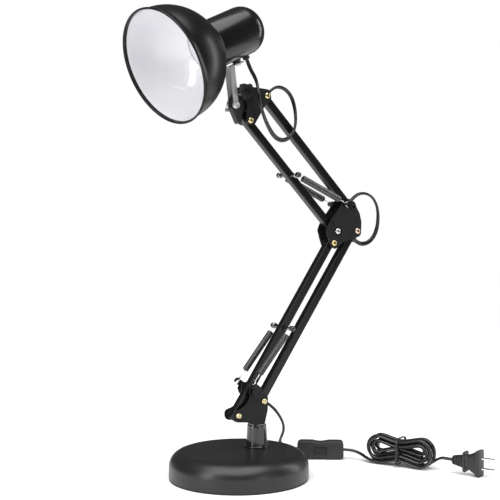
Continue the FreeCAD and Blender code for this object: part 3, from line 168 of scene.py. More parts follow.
def makeTintGroup():
    # a small drift of brightness and dust over the base colour
    group, gin, gout = newGroup("colourDrift", [
        ("Color", "NodeSocketColor", (0.05, 0.05, 0.05, 1)),
        ("Second", "NodeSocketColor", (0.08, 0.08, 0.08, 1)),
        ("Scale", "NodeSocketFloat", 30.0), ("Mask", "NodeSocketFloat", 0.0),
        ("Edge", "NodeSocketColor", (0.3, 0.3, 0.3, 1))], [("Color", "NodeSocketColor")])
    coord = addNode(group, "ShaderNodeTexCoord")
    noise = addNode(group, "ShaderNodeTexNoise", {
        "Vector": coord.outputs["Object"], "Scale": gin.outputs["Scale"], "Detail": 6.0, "Roughness": 0.6})
    ramp = addNode(group, "ShaderNodeMapRange", {
        "Value": noise.outputs["Fac"], "From Min": 0.35, "From Max": 0.7})
    drift = addNode(group, "ShaderNodeMix", data_type="RGBA")
    worn = addNode(group, "ShaderNodeMix", data_type="RGBA")
    group.links.new(ramp.outputs[0], drift.inputs["Factor"])
    group.links.new(gin.outputs["Color"], drift.inputs["A"])
    group.links.new(gin.outputs["Second"], drift.inputs["B"])
    group.links.new(gin.outputs["Mask"], worn.inputs["Factor"])
    group.links.new(drift.outputs["Result"], worn.inputs["A"])
    group.links.new(gin.outputs["Edge"], worn.inputs["B"])
    group.links.new(worn.outputs["Result"], gout.inputs["Color"])
    return group


grainGroup = makeGrainGroup()
wearGroup = makeWearGroup()
brushGroup = makeBrushGroup()
tintGroup = makeTintGroup()


def colour(value):
    return (value[0], value[1], value[2], 1.0)


def makeFinish(name, look):
    # one material: colour drift, grain or brushed lines, optional rubbed edges and a clear coat
    material = bpy.data.materials.new(name)
    material.use_nodes = True
    tree = material.node_tree
    shader = tree.nodes["Principled BSDF"]
    tint = addNode(tree, "ShaderNodeGroup", node_tree=tintGroup)
    tint.inputs["Color"].default_value = colour(look["color"])
    tint.inputs["Second"].default_value = colour(look.get("second", [c * 1.25 for c in look["color"]]))
    tint.inputs["Edge"].default_value = colour(look.get("edge", [c * 2.5 for c in look["color"]]))
    tint.inputs["Scale"].default_value = look.get("driftScale", 35.0)
    if look.get("rub", 0) > 0:
        wear = addNode(tree, "ShaderNodeGroup", node_tree=wearGroup)
        wear.inputs["Amount"].default_value = look["rub"]
        tree.links.new(wear.outputs["Mask"], tint.inputs["Mask"])
    tree.links.new(tint.outputs["Color"], shader.inputs["Base Color"])
    if look.get("brushed"):
        surface = addNode(tree, "ShaderNodeGroup", node_tree=brushGroup)
        surface.inputs["Stretch"].default_value = look["brushed"]
        surface.inputs["Scale"].default_value = look.get("grain", 1500.0)
    else:
        surface = addNode(tree, "ShaderNodeGroup", node_tree=grainGroup)
        surface.inputs["Scale"].default_value = look.get("grain", 900.0)
        surface.inputs["Patches"].default_value = look.get("patches", 22.0)
    surface.inputs["Height"].default_value = look.get("height", 0.25)
    surface.inputs["Roughness"].default_value = look["rough"]
    surface.inputs["Spread"].default_value = look.get("spread", 0.08)
    tree.links.new(surface.outputs["Roughness"], shader.inputs["Roughness"])
    tree.links.new(surface.outputs["Normal"], shader.inputs["Normal"])
    shader.inputs["Metallic"].default_value = look.get("metal", 0.0)
    shader.inputs["Specular IOR Level"].default_value = look.get("specular", 0.5)
    shader.inputs["Coat Weight"].default_value = look.get("coat", 0.0)
    shader.inputs["Coat Roughness"].default_value = look.get("coatRough", 0.1)
    return material


finishes = {
    "shadeBlack": dict(color=(0.004, 0.004, 0.0045), rough=0.33, spread=0.04, height=0.03, grain=700,
                       specular=0.3),
    "linerWhite": dict(color=(0.79, 0.79, 0.825), second=(0.82, 0.82, 0.845), rough=0.30, coat=1.0,
                       coatRough=0.07, height=0.05, grain=600),
    "baseCharcoal": dict(color=(0.008, 0.008, 0.0088), rough=0.36, spread=0.05, height=0.22, grain=1400),
    "stemGloss": dict(color=(0.006, 0.006, 0.007), rough=0.16, spread=0.04, height=0.03, coat=0.6,
                      coatRough=0.06),
    "bracketMatte": dict(color=(0.009, 0.009, 0.0098), rough=0.46, specular=0.22, spread=0.08,
                         height=0.30, grain=1700, rub=0.10),
    "armSatin": dict(color=(0.004, 0.004, 0.0045), rough=0.27, specular=0.38, spread=0.06, height=0.10,
                     grain=1200, rub=0.05),
    "bushBlack": dict(color=(0.012, 0.012, 0.012), rough=0.5, height=0.15, grain=1300),
    "goldZinc": dict(color=(0.76, 0.62, 0.30), second=(0.76, 0.68, 0.46), rough=0.24, metal=1.0,
                     spread=0.12, height=0.08, driftScale=260),
    "silverZinc": dict(color=(0.78, 0.76, 0.72), second=(0.70, 0.68, 0.66), rough=0.24, metal=1.0,
                       spread=0.12, height=0.08, driftScale=260),
    "springBlack": dict(color=(0.10, 0.10, 0.105), rough=0.28, metal=0.8, spread=0.08, height=0.06),
    "wireBright": dict(color=(0.70, 0.70, 0.72), rough=0.22, metal=1.0, spread=0.1, height=0.05),
    "chrome": dict(color=(0.90, 0.90, 0.92), second=(0.82, 0.82, 0.85), rough=0.12, metal=0.6,
                   spread=0.07, brushed=(1.0, 1.0, 0.2), height=0.05, driftScale=120),
    "blockBlack": dict(color=(0.014, 0.014, 0.015), rough=0.45, height=0.3, grain=1500),
    "capGloss": dict(color=(0.004, 0.004, 0.0045), rough=0.27, spread=0.04, height=0.02, specular=0.3,
                     coat=0.3, coatRough=0.14),
    "rockerBlack": dict(color=(0.012, 0.012, 0.013), rough=0.3, spread=0.06, height=0.08, grain=1200),
    "knobBlack": dict(color=(0.008, 0.008, 0.008), rough=0.33, height=0.1, grain=1300, coat=0.1),
    "holderWhite": dict(color=(0.78, 0.77, 0.74), rough=0.4, height=0.12, grain=900),
    "contactBrass": dict(color=(0.70, 0.52, 0.22), rough=0.3, metal=1.0, spread=0.1,
                         brushed=(0.1, 0.1, 1.0)),
    "cordBlack": dict(color=(0.007, 0.007, 0.007), rough=0.27, spread=0.08, height=0.08, grain=800,
                      specular=0.55),
    "switchBlack": dict(color=(0.016, 0.016, 0.017), rough=0.46, height=0.35, grain=1900, rub=0.15),
    "plugBlack": dict(color=(0.014, 0.014, 0.015), rough=0.48, height=0.3, grain=1600, rub=0.15),
    "tieBlack": dict(color=(0.012, 0.012, 0.012), rough=0.35, height=0.1, grain=900),
    "bladeNickel": dict(color=(0.78, 0.76, 0.70), rough=0.2, metal=1.0, spread=0.1,
                        brushed=(1.0, 0.1, 1.0)),
    "steelPlain": dict(color=(0.55, 0.55, 0.56), rough=0.3, metal=1.0, spread=0.12,
                       brushed=(1.0, 1.0, 0.1)),
    "castIron": dict(color=(0.08, 0.08, 0.08), rough=0.75, height=0.8, grain=500),
    "padFelt": dict(color=(0.02, 0.02, 0.02), rough=0.95, height=0.9, grain=2600),
    "nylonWhite": dict(color=(0.6, 0.6, 0.57), rough=0.5, height=0.1),
}
mats = {name: makeFinish(name, look) for name, look in finishes.items()}


# which way along which axis, in metres, the elbow's screws change to which tone
screwTones = [("Z", "LESS_THAN", 0.2895, (0.76, 0.62, 0.30)),
              ("X", "GREATER_THAN", 0.165, (0.80, 0.60, 0.46)),
              ("Z", "GREATER_THAN", 0.315, (0.02, 0.02, 0.02))]


def makeElbowZinc():
    # the elbow's screws change tone with place: yellow low down, copper at the back, black at the top
    material = makeFinish("elbowZinc", finishes["silverZinc"])
    tree = material.node_tree
    shader = tree.nodes["Principled BSDF"]
    source = shader.inputs["Base Color"].links[0].from_socket
    coord = addNode(tree, "ShaderNodeTexCoord")
    axes = addNode(tree, "ShaderNodeSeparateXYZ", {0: coord.outputs["Object"]})
    for axis, way, limit, tone in screwTones:
        mask = addNode(tree, "ShaderNodeMath", {0: axes.outputs[axis], 1: limit}, operation=way)
        mixed = addNode(tree, "ShaderNodeMix", data_type="RGBA")
        tree.links.new(mask.outputs[0], mixed.inputs["Factor"])
        tree.links.new(source, mixed.inputs["A"])
        mixed.inputs["B"].default_value = colour(tone)
        source = mixed.outputs["Result"]
    tree.links.new(source, shader.inputs["Base Color"])
    return material


mats["elbowZinc"] = makeElbowZinc()
print("materials made:", len(mats))


# mesh helpers
def meshObject(name, verts, faces, material, body):
    mesh = bpy.data.meshes.new(name)
    mesh.from_pydata([tuple(v) for v in verts], [], faces)
    mesh.validate()
    mesh.update()
    piece = bpy.data.objects.new(name, mesh)
    bpy.context.collection.objects.link(piece)
    for m in material if isinstance(material, (list, tuple)) else [material]:
        mesh.materials.append(m)
    mesh.shade_smooth()
    if body:
        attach(piece, body)
    return piece


def axisFrame(direction):
    upHint = Vector((0, 1, 0))
    z = direction.normalized()
    x = (upHint - z * upHint.dot(z)).normalized()
    return x, z.cross(x), z


def lathe(name, profile, origin, direction, material, body, segments, matIndex=None):
    # profile: a closed ring of (radius, station) pairs in metres, turned about the axis through origin
    x, y, z = axisFrame(direction)
    verts = []
    faces = []
    rings = []
    for radius, station in profile:
        if radius < 1e-7:
            rings.append([len(verts)])
            verts.append(origin + z * station)
            continue
        rings.append(list(range(len(verts), len(verts) + segments)))
        for i in range(segments):
            a = 2 * math.pi * i / segments
            verts.append(origin + z * station + x * (radius * math.cos(a)) + y * (radius * math.sin(a)))
    marks = []
    for k in range(len(rings)):
        a, b = rings[k], rings[(k + 1) % len(rings)]
        for i in range(segments):
            j = (i + 1) % segments
            if len(a) == 1 and len(b) == 1:
                break
            if len(a) == 1:
                faces.append((a[0], b[j], b[i]))
            elif len(b) == 1:
                faces.append((a[i], a[j], b[0]))
            else:
                faces.append((a[i], a[j], b[j], b[i]))
            marks.append(matIndex(k) if matIndex else 0)
    piece = meshObject(name, verts, faces, material, body)
    bm = bmesh.new()
    bm.from_mesh(piece.data)
    bmesh.ops.recalc_face_normals(bm, faces=bm.faces)
    bm.to_mesh(piece.data)
    bm.free()
    if matIndex:
        for face, mark in zip(piece.data.polygons, marks):
            face.material_index = mark
    return piece


def arcProfile(cx, cz, r, a0, a1, steps):
    return [(cx + r * math.cos(math.radians(a0 + (a1 - a0) * i / steps)),
             cz + r * math.sin(math.radians(a0 + (a1 - a0) * i / steps))) for i in range(steps + 1)]


def sharpen(piece, angle=32):
    # keeps flat faces flat and round ones smooth
    piece.data.set_sharp_from_angle(angle=math.radians(angle))


def dressNode(name, material, bevel):
    node = nodes[name]
    if not node.material_slots:
        node.data.materials.append(mats[material])
    for slotItem in node.material_slots:
        slotItem.material = mats[material]
    if bevel > 0:
        softened = node.modifiers.new("softEdges", "BEVEL")
        softened.width = bevel
        softened.segments = 2
        softened.limit_method = "ANGLE"
        softened.angle_limit = math.radians(35)
        softened.harden_normals = True


def smoothLine(name, points, spacing):
    # a quadratic NURBS through its end points, read back as evenly spaced places
    data = bpy.data.curves.new(name, "CURVE")
    data.dimensions = "3D"
    spline = data.splines.new("NURBS")
    spline.points.add(len(points) - 1)
    for point, place in zip(spline.points, points):
        point.co = (place[0], place[1], place[2], 1.0)
    spline.order_u = 3
    spline.use_endpoint_u = True
    spline.resolution_u = 16
    carrier = bpy.data.objects.new(name, data)
    bpy.context.collection.objects.link(carrier)
    sampled = bpy.data.meshes.new_from_object(carrier)
    raw = [v.co.copy() for v in sampled.vertices]
    bpy.data.objects.remove(carrier)
    bpy.data.curves.remove(data)
    bpy.data.meshes.remove(sampled)
    return evenly(raw, spacing)


def evenly(raw, spacing):
    travelled = [0.0]
    for a, b in zip(raw, raw[1:]):
        travelled.append(travelled[-1] + (b - a).length)
    total = travelled[-1]
    count = max(4, round(total / spacing))
    places = []
    k = 0
    for i in range(count + 1):
        want = total * i / count
        while k < len(raw) - 2 and travelled[k + 1] < want:
            k += 1
        share = (want - travelled[k]) / max(1e-12, travelled[k + 1] - travelled[k])
        places.append(raw[k].lerp(raw[k + 1], min(1.0, max(0.0, share))))
    return places


def carriedFrames(line, firstSide):
    # a frame at each place, turned as little as possible from one to the next
    frames = []
    side = firstSide.copy()
    for i in range(len(line)):
        ahead = (line[min(i + 1, len(line) - 1)] - line[max(i - 1, 0)]).normalized()
        side = (side - ahead * side.dot(ahead)).normalized()
        frames.append((ahead, side.copy(), ahead.cross(side)))
    return frames


def sweep(name, line, frames, outline, material, body, turn=None):
    # outline: (side, up) offsets in metres carried along the line; turn gives its twist at each share
    verts = []
    faces = []
    n = len(outline)
    for i, (place, (ahead, side, up)) in enumerate(zip(line, frames)):
        a = turn(i / max(1, len(line) - 1)) if turn else 0.0
        c, s = math.cos(a), math.sin(a)
        for ox, oy in outline:
            verts.append(place + side * (ox * c - oy * s) + up * (ox * s + oy * c))
    for i in range(len(line) - 1):
        for k in range(n):
            m = (k + 1) % n
            faces.append((i * n + k, i * n + m, (i + 1) * n + m, (i + 1) * n + k))
    faces.append(tuple(range(n))[::-1])
    faces.append(tuple((len(line) - 1) * n + k for k in range(n)))
    piece = meshObject(name, verts, faces, material, body)
    sharpen(piece, 50)
    return piece


def twinOutline(width, thick, steps=9):
    # two round cores side by side with a groove between them
    r = thick / 2
    offset = width / 2 - r
    dip = 0.42
    points = []
    for i in range(steps + 1):
        a = math.radians(-120 + 240 * i / steps)
        points.append((offset + r * math.cos(a), r * math.sin(a)))
    points.append((0.0, r * dip))
    for i in range(steps + 1):
        a = math.radians(60 + 240 * i / steps)
        points.append((-offset + r * math.cos(a), r * math.sin(a)))
    points.append((0.0, -r * dip))
    return points


def roundOutline(r, steps):
    return [(r * math.cos(2 * math.pi * i / steps), r * math.sin(2 * math.pi * i / steps))
            for i in range(steps)]


def lineLength(line):
    return sum((b - a).length for a, b in zip(line, line[1:]))


# camera, at the photograph's place
cameraPlace = dict(position=(-0.7192, -1.1989, 0.3451), yaw=31.56, pitch=2.78, roll=-0.22, lens=83.66)
cameraData = bpy.data.cameras.new("photoCamera")
cameraData.sensor_width = 36
cameraData.lens = cameraPlace["lens"]
cameraData.clip_start = 0.05
camera = bpy.data.objects.new("photoCamera", cameraData)
bpy.context.collection.objects.link(camera)
camera.matrix_world = (Matrix.Translation(cameraPlace["position"])
                       @ Matrix.Rotation(math.radians(-cameraPlace["yaw"]), 4, "Z")
                       @ Matrix.Rotation(math.radians(90 - cameraPlace["pitch"]), 4, "X")
                       @ Matrix.Rotation(math.radians(cameraPlace["roll"]), 4, "Z"))
bpy.context.scene.camera = camera
print("camera placed")

# the free cord: one smooth line for each loop, cut into even stretches, one for each pair of neighbouring
# bodies
cordLook = dict(width=0.0057, thick=0.0034, hankWidth=0.0052, spacing=0.0022)
headRoute = [
    (19.4, 9.6, 507.5), (22.8, 9.6, 499.7), (24.6, 6.0, 492.2), (24.6, 0.1, 486.1), (23.1, -6.3, 480.7),
    (21.1, -12.1, 474.8), (19.6, -16.4, 467.7), (19.4, -18.8, 459.5), (20.8, -19.4, 451.2),
    (23.7, -18.9, 443.2), (27.5, -17.6, 435.7), (32.0, -16.1, 428.7), (37.1, -14.4, 422.1),
    (42.9, -12.4, 416.2), (49.8, -10.3, 411.7), (57.9, -8.4, 409.7), (66.1, -6.8, 411.0),
    (73.2, -5.7, 415.4), (78.4, -4.8, 422.1), (81.5, -3.6, 430.0), (83.1, -1.7, 438.1),
    (84.0, 0.7, 446.2), (84.0, 3.2, 454.3), (82.4, 5.2, 462.4), (78.3, 6.7, 469.7), (71.5, 7.4, 474.7),
    (63.1, 7.5, 476.2), (55.0, 7.4, 473.7), (48.8, 7.4, 467.9)]
elbowRoute = [
    (174.4, 7.4, 335.5), (180.6, 7.4, 341.4), (188.4, 7.1, 344.7), (196.8, 6.6, 344.9),
    (204.8, 6.0, 341.9), (210.9, 5.6, 336.0), (214.7, 5.3, 328.4), (216.4, 5.2, 320.1),
    (216.6, 5.2, 311.6), (215.7, 5.3, 303.1), (213.4, 5.6, 294.9), (209.2, 6.0, 287.5),
    (203.0, 6.5, 281.8), (194.9, 7.1, 279.1), (186.5, 7.4, 280.2), (179.5, 7.4, 285.1)]
leadRoute = [
    (43.6, 7.4, 87.4), (50.6, 7.4, 82.6), (57.1, 9.1, 77.4), (63.1, 11.9, 72.0), (68.8, 15.1, 66.5),
    (74.1, 18.7, 60.8), (78.9, 22.6, 55.0), (83.0, 27.2, 49.1), (86.1, 32.3, 43.1), (88.2, 38.0, 37.1),
    (89.7, 44.0, 31.3), (91.7, 49.8, 25.3), (96.3, 53.9, 19.4), (103.3, 55.0, 14.7), (111.0, 52.9, 12.0),
    (118.0, 48.0, 12.0)]


def routePoints(values):
    return [Vector(v) / 1000 for v in values]


def cordPiece(name, part, frames, turn, nodeName):
    piece = sweep(name, part, frames, twinOutline(cordLook["width"], cordLook["thick"]), mats["cordBlack"],
                  None, turn=turn)
    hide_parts(nodeName)
    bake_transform(piece)


def makeLoop(label, route, turns, bodies, nodeName):
    # one line from mouth to mouth, cut into one stretch for each pair of neighbouring bodies in the list
    line = smoothLine(label, routePoints(route), cordLook["spacing"])
    frames = carriedFrames(line, Vector((0, 1, 0)))
    last = len(line) - 1
    count = len(bodies) - 1
    cuts = [round(last * k / count) for k in range(count + 1)]
    for k in range(count):
        a, b = cuts[k], cuts[k + 1]

        def turn(share):
            # the twin cord's twist, eased in and out over the whole loop
            along = (a + share * (b - a)) / last
            return 2 * math.pi * turns * along * along * (3 - 2 * along)

        cordPiece(label + str(k), line[a:b + 1], frames[a:b + 1], turn,
                  nodeName)
    print(label, "length", round(lineLength(line), 4), "points", len(line))


makeLoop("headLoop", headRoute, 0.42, ["head", "yoke", "top_bracket", "upper_back"], "cord_head")
makeLoop("elbowLoop", elbowRoute, 0.30, ["upper_back", "elbow", "lower_back"], "cord_elbow")
makeLoop("baseLead", leadRoute, 0.25, ["lower_back", "swivel", "base"], "cord_lead")

# the cord left over, folded into a standing hank with a wire tie round its waist
hank = dict(place=(206.0, -56.0), heading=-65.0, half=28.0, inner=6.8, step=2.95, layer=5.6, pinch=5.2,
            waist=1.12, runs=17, radius=2.5, stagger=2.6, runShares=(0.06, 0.30, 0.5, 0.70, 0.94),
            turnAngles=(-67.5, -22.5, 22.5, 67.5), spacing=0.0025)
hankEnds = dict(stub=9.0, bendOut=15.0, bendAhead=7.0, bendDrop=3.2, feed=16.0, feedRise=1.2, leave=9.0,
                leaveRise=0.5, plugFar=17.0, plugNear=8.0)
switchPlace = dict(start=(118.0, 48.0), heading=-35.0, length=60.0, height=12.0)
plugPlace = dict(start=(236.0, -120.0), heading=-67.0, height=16.5)


def heading(angle):
    a = math.radians(angle)
    return Vector((math.cos(a), math.sin(a), 0))


def hankRoute():
    ahead = heading(hank["heading"])
    across = Vector((-ahead.y, ahead.x, 0))
    tall = hank["inner"] + 4 * hank["step"]
    centre = Vector((hank["place"][0], hank["place"][1], tall + hank["radius"]))

    def at(h, depth, z):
        return centre + ahead * h + across * depth + Vector((0, 0, z))

    runs = []
    for j in range(hank["runs"]):
        layer = j // 4
        w = hank["inner"] + hank["step"] * abs(4 - j % 8) - hank["stagger"] * (layer % 2)
        climb = 1 if j % 4 == 0 and j > 0 else 0
        # four layers deep, centred on the hank's place
        d0 = (layer - climb - 1.5) * hank["layer"]
        d1 = (layer - 1.5) * hank["layer"]
        if j == hank["runs"] - 1:
            d0 = d1 = (layer - 1 - 1.5) * hank["layer"]
        runs.append((w, d0, d1, 1 if j % 2 == 0 else -1))
    points = []
    for j, (w, d0, d1, way) in enumerate(runs):
        z = -w * way
        low = -(w - hank["pinch"]) * way
        for share in hank["runShares"]:
            h = -way * hank["half"] * (1 - 2 * share)
            dip = math.sin(math.pi * share) ** 2
            points.append(at(h, d0 + (d1 - d0) * share, z + (low - z) * dip * hank["waist"]))
        if j + 1 < len(runs):
            w2 = runs[j + 1][0]
            for k, degrees in enumerate(hank["turnAngles"]):
                # the points stand outside the turn, so that the curve they pull has its radius
                r = (w + (w2 - w) * (k + 0.5) / 4) / math.cos(math.radians(22.5))
                a = math.radians(degrees)
                points.append(at(way * (hank["half"] + r * math.cos(a)), d1, way * r * math.sin(a)))
    out = heading(switchPlace["heading"])
    switchEnd = Vector((*switchPlace["start"], switchPlace["height"])) + out * switchPlace["length"]
    e = hankEnds
    bend = switchEnd + out * e["bendOut"] + ahead * e["bendAhead"] - Vector((0, 0, e["bendDrop"]))
    entry = [switchEnd, switchEnd + out * e["stub"], bend,
             points[0] - ahead * e["feed"] + Vector((0, 0, e["feedRise"]))]
    end = Vector((*plugPlace["start"], plugPlace["height"]))
    endWay = heading(plugPlace["heading"])
    rise = Vector((0, 0, e["leaveRise"]))
    leave = [points[-1] + ahead * e["leave"] + rise, end - endWay * e["plugFar"] + rise,
             end - endWay * e["plugNear"], end]
    return [p / 1000 for p in entry + points + leave]


def boxSection(x, halfY, halfZ, r, steps):
    # a rounded rectangle across x
    points = []
    for cy, cz, start in ((1, 1, 0), (-1, 1, 90), (-1, -1, 180), (1, -1, 270)):
        for i in range(steps + 1):
            a = math.radians(start + 90 * i / steps)
            points.append((x, cy * (halfY - r) + r * math.cos(a), cz * (halfZ - r) + r * math.sin(a)))
    return points


def loftBoxes(name, sections, matrix, material, body):
    verts = []
    faces = []
    steps = 4
    n = 4 * (steps + 1)
    for section in sections:
        for x, y, z in boxSection(*section, steps):
            verts.append(matrix @ Vector((x / 1000, y / 1000, z / 1000)))
    for i in range(len(sections) - 1):
        for k in range(n):
            m = (k + 1) % n
            faces.append((i * n + k, i * n + m, (i + 1) * n + m, (i + 1) * n + k))
    faces.append(tuple(range(n))[::-1])
    faces.append(tuple((len(sections) - 1) * n + k for k in range(n)))
    piece = meshObject(name, verts, faces, material, body)
    bm = bmesh.new()
    bm.from_mesh(piece.data)
    bmesh.ops.recalc_face_normals(bm, faces=bm.faces)
    bm.to_mesh(piece.data)
    bm.free()
    sharpen(piece, 40)
    return piece


def placeMatrix(place):
    start = Vector((*place["start"], place["height"]))
    return Matrix.Translation(start / 1000) @ Matrix.Rotation(math.radians(place["heading"]), 4, "Z")


def makePlug():
    # ribbed, tapering strain relief, thumb collar, waisted grip and a wider nose
    relief = [(0.0, 3.9, 4.2, 3.2)]
    for i in range(5):
        x = 1.2 + 3.5 * i
        g = 0.42 * i
        relief += [(x, 3.9 + g, 4.6 + 1.5 * g, 3.2), (x + 0.3, 4.6 + g, 5.6 + 1.5 * g, 3.2),
                   (x + 1.7, 4.8 + g, 5.8 + 1.5 * g, 3.2), (x + 2.0, 4.1 + g, 4.8 + 1.5 * g, 3.2)]
    relief += [(18.8, 5.6, 7.4, 3.6), (20.5, 5.8, 8.0, 3.8)]
    grip = [(15.4, 6.2, 11.4, 3.4), (15.9, 6.8, 12.3, 3.2), (17.6, 7.1, 12.9, 3.0), (18.3, 6.7, 12.5, 3.0),
            (18.5, 5.9, 9.0, 4.0), (20.0, 5.8, 8.7, 4.2), (24.0, 6.4, 10.0, 4.4), (28.5, 7.2, 12.2, 4.4),
            (32.2, 7.7, 13.9, 4.0), (32.5, 7.9, 14.9, 3.4), (33.2, 8.0, 15.6, 3.0), (37.1, 8.0, 16.4, 2.8),
            (37.8, 7.7, 16.2, 2.8), (38.0, 7.2, 15.7, 2.8)]
    matrix = placeMatrix(plugPlace)
    body = loftBoxes("plugGrip", grip, matrix, mats["plugBlack"], "base")
    sleeve = loftBoxes("plugStrainRelief", relief, matrix, mats["plugBlack"], "base")
    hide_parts("plug_body")
    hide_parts("plug_body")
    return [body, sleeve]


plugPieces = makePlug()
hankLine = smoothLine("hank", hankRoute(), hank["spacing"])
hankAhead = heading(hank["heading"])
hankFrames = carriedFrames(hankLine, Vector((-hankAhead.y, hankAhead.x, 0)))
hankCord = sweep("cordHank", hankLine, hankFrames, twinOutline(cordLook["hankWidth"], cordLook["thick"], 5),
                 mats["cordBlack"], "base")
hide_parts("cord_hank")
print("hank length", round(lineLength(hankLine), 3))

# the springs: close turns of dark wire with bright legs, hooked over a pin and into an eye or over a stud
springLook = dict(outer=0.0085, wire=0.0012, sides=8, pinLeg=0.0070, hookLeg=0.0120, turnStep=0.00128,
                  turnSides=16, grow=8, pinRadius=0.0025, clear=0.0001, hookClear=0.0002, legGap=0.0016,
                  legShift=0.0002, lead=0.0012, hookArc=(20, 318), eyeArc=(12, 330), arcSteps=22,
                  eyeReach=0.0047, eyeCentre=0.00335, eyeRadius=0.0024, eyeLead=0.0036, apart=17.5,
                  blendShares=(0.08, 0.92))
springHooks = dict(lower=(-16.8, 113.6), upper=(126.0, 331.0))


def springLine(pin, hook, eye):
    # pin and hook are where the two ends hang; eye says the hook end goes through a plate's hole
    look = springLook
    axis = (hook - pin).normalized()
    side = Vector((0, 1, 0))
    across = axis.cross(side)
    coilR = (look["outer"] - look["wire"]) / 2
    hookR = look["pinRadius"] + look["wire"] / 2 + look["clear"]
    legStart = look["pinRadius"] + look["legGap"]
    opened, closedAt = look["hookArc"]
    line = []

    def ringAt(centre, r, out, other, fromA, toA):
        for i in range(look["arcSteps"] + 1):
            a = math.radians(fromA + (toA - fromA) * i / look["arcSteps"])
            line.append(centre + out * (r * math.cos(a)) + other * (r * math.sin(a)))

    ringAt(pin, hookR, axis, across, closedAt, opened)
    start = pin + axis * (look["pinRadius"] + look["pinLeg"])
    hookReach = look["eyeReach"] if eye else look["pinRadius"] + look["hookClear"]
    end = hook - axis * (hookReach + look["hookLeg"])
    line.append(pin + axis * legStart + across * look["legShift"])
    line.append(start - axis * look["lead"])
    coilFirst = len(line)
    length = (end - start).length
    turns = round(length / look["turnStep"])
    steps = turns * look["turnSides"]
    for i in range(steps + 1):
        share = i / steps
        a = 2 * math.pi * turns * share
        grow = min(1.0, i / look["grow"], (steps - i) / look["grow"])
        r = coilR * math.sin(math.pi / 2 * grow)
        line.append(start + axis * (length * share) + side * (r * math.cos(a)) + across * (r * math.sin(a)))
    coilLast = len(line)
    line.append(end + axis * look["lead"])
    if eye:
        ring = hook - axis * look["eyeCentre"]
        line.append(ring - axis * look["eyeLead"])
        ringAt(ring, look["eyeRadius"], -axis, side, *look["eyeArc"])
    else:
        line.append(hook - axis * legStart)
        ringAt(hook, hookR, -axis, across, opened, closedAt)
    return line, coilFirst, coilLast


def makeSpring(name, pinPlace, hookPlace, eye, nodeName, side):
    pin = armPoint(*pinPlace, y=side * springLook["apart"])
    hook = armPoint(*hookPlace, y=side * springLook["apart"])
    line, coilFirst, coilLast = springLine(pin, hook, eye)
    frames = carriedFrames(line, Vector((0, 1, 0.2)).normalized())
    sides = springLook["sides"]
    piece = sweep(name, line, frames, roundOutline(springLook["wire"] / 2, sides),
                  [mats["springBlack"], mats["wireBright"]], None)
    marks = [1 if i < coilFirst or i >= coilLast - 1 else 0 for i in range(len(line) - 1)]
    for face in piece.data.polygons:
        face.material_index = marks[face.index // sides] if face.index < len(marks) * sides else 1
    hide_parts(nodeName)
    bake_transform(piece)


lowerPin = stepAlong(arms["lowerPivot"], arms["lowerLength"] * arms["lowerPinShare"], arms["lowerAngle"])
upperPin = stepAlong(elbowUp, arms["upperLength"] * arms["upperPinShare"], arms["upperAngle"])
for side, label in ((-1, "near"), (1, "far")):
    makeSpring("lowerSpring" + label, lowerPin, springHooks["lower"], True,
               "lower_spring_" + label, side)
    makeSpring("upperSpring" + label, upperPin, springHooks["upper"], False,
               "upper_spring_" + label, side)
print("cords and springs made")

# the shade: a bell with a rolled rim, black outside and pale inside
shadeLook = dict(rim=0.0702, bead=0.0013, dome=0.068, station=0.008, neck=0.032, neckLen=0.0032,
                 wall=0.0008, hole=0.019, segments=192)


def makeShade():
    s = shadeLook
    neckAngle = math.degrees(math.acos(s["neck"] / s["dome"]))
    neckTop = s["station"] + s["dome"] * math.sin(math.radians(neckAngle)) + s["neckLen"]
    bead = arcProfile(s["rim"] - s["bead"], s["bead"], s["bead"], -180, 70, 16)
    outer = [(s["dome"] + 0.0009, s["bead"] + 0.0024), (s["dome"] + 0.00025, 0.0058)]
    outer += arcProfile(0, s["station"], s["dome"], 0, neckAngle - 3.0, 46)
    foot = s["station"] + s["dome"] * math.sin(math.radians(neckAngle))
    outer += [(s["neck"] + 0.0012, foot - 0.0004), (s["neck"] + 0.0003, foot + 0.0007),
              (s["neck"], foot + 0.0018)]
    outer += [(s["neck"], neckTop - 0.0005), (s["neck"] - 0.0004, neckTop), (s["hole"], neckTop)]
    innerR = s["dome"] - s["wall"]
    inner = [(s["hole"], neckTop - s["wall"]), (s["neck"] - s["wall"], neckTop - s["wall"]),
             (s["neck"] - s["wall"], foot - 0.0002)]
    inner += arcProfile(0, s["station"], innerR, neckAngle - 2.5, 0, 46)
    inner += [(innerR + 0.0003, 0.0046), (s["rim"] - 2 * s["bead"], s["bead"] + 0.0006)]
    profile = bead + outer + inner
    lit = len(bead) + len(outer)

    def pick(k):
        # pale on the inner rings, black on the rim and outside
        return 1 if lit <= k < len(profile) - 2 else 0

    piece = lathe("shadeBell", profile, rimCentre, -shadeMouth, [mats["shadeBlack"], mats["linerWhite"]],
                  "head", segments=s["segments"], matIndex=pick)
    sharpen(piece, 40)
    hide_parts("shade")
    return neckTop


neckTop = makeShade()

# the cap: a drum with a generous shoulder, and the boss that the fork's rivet passes through
capLook = dict(r=headPose["capRadius"], wall=0.0014, edge=0.0225, length=0.1513, boss=0.0052, bossH=0.0030)


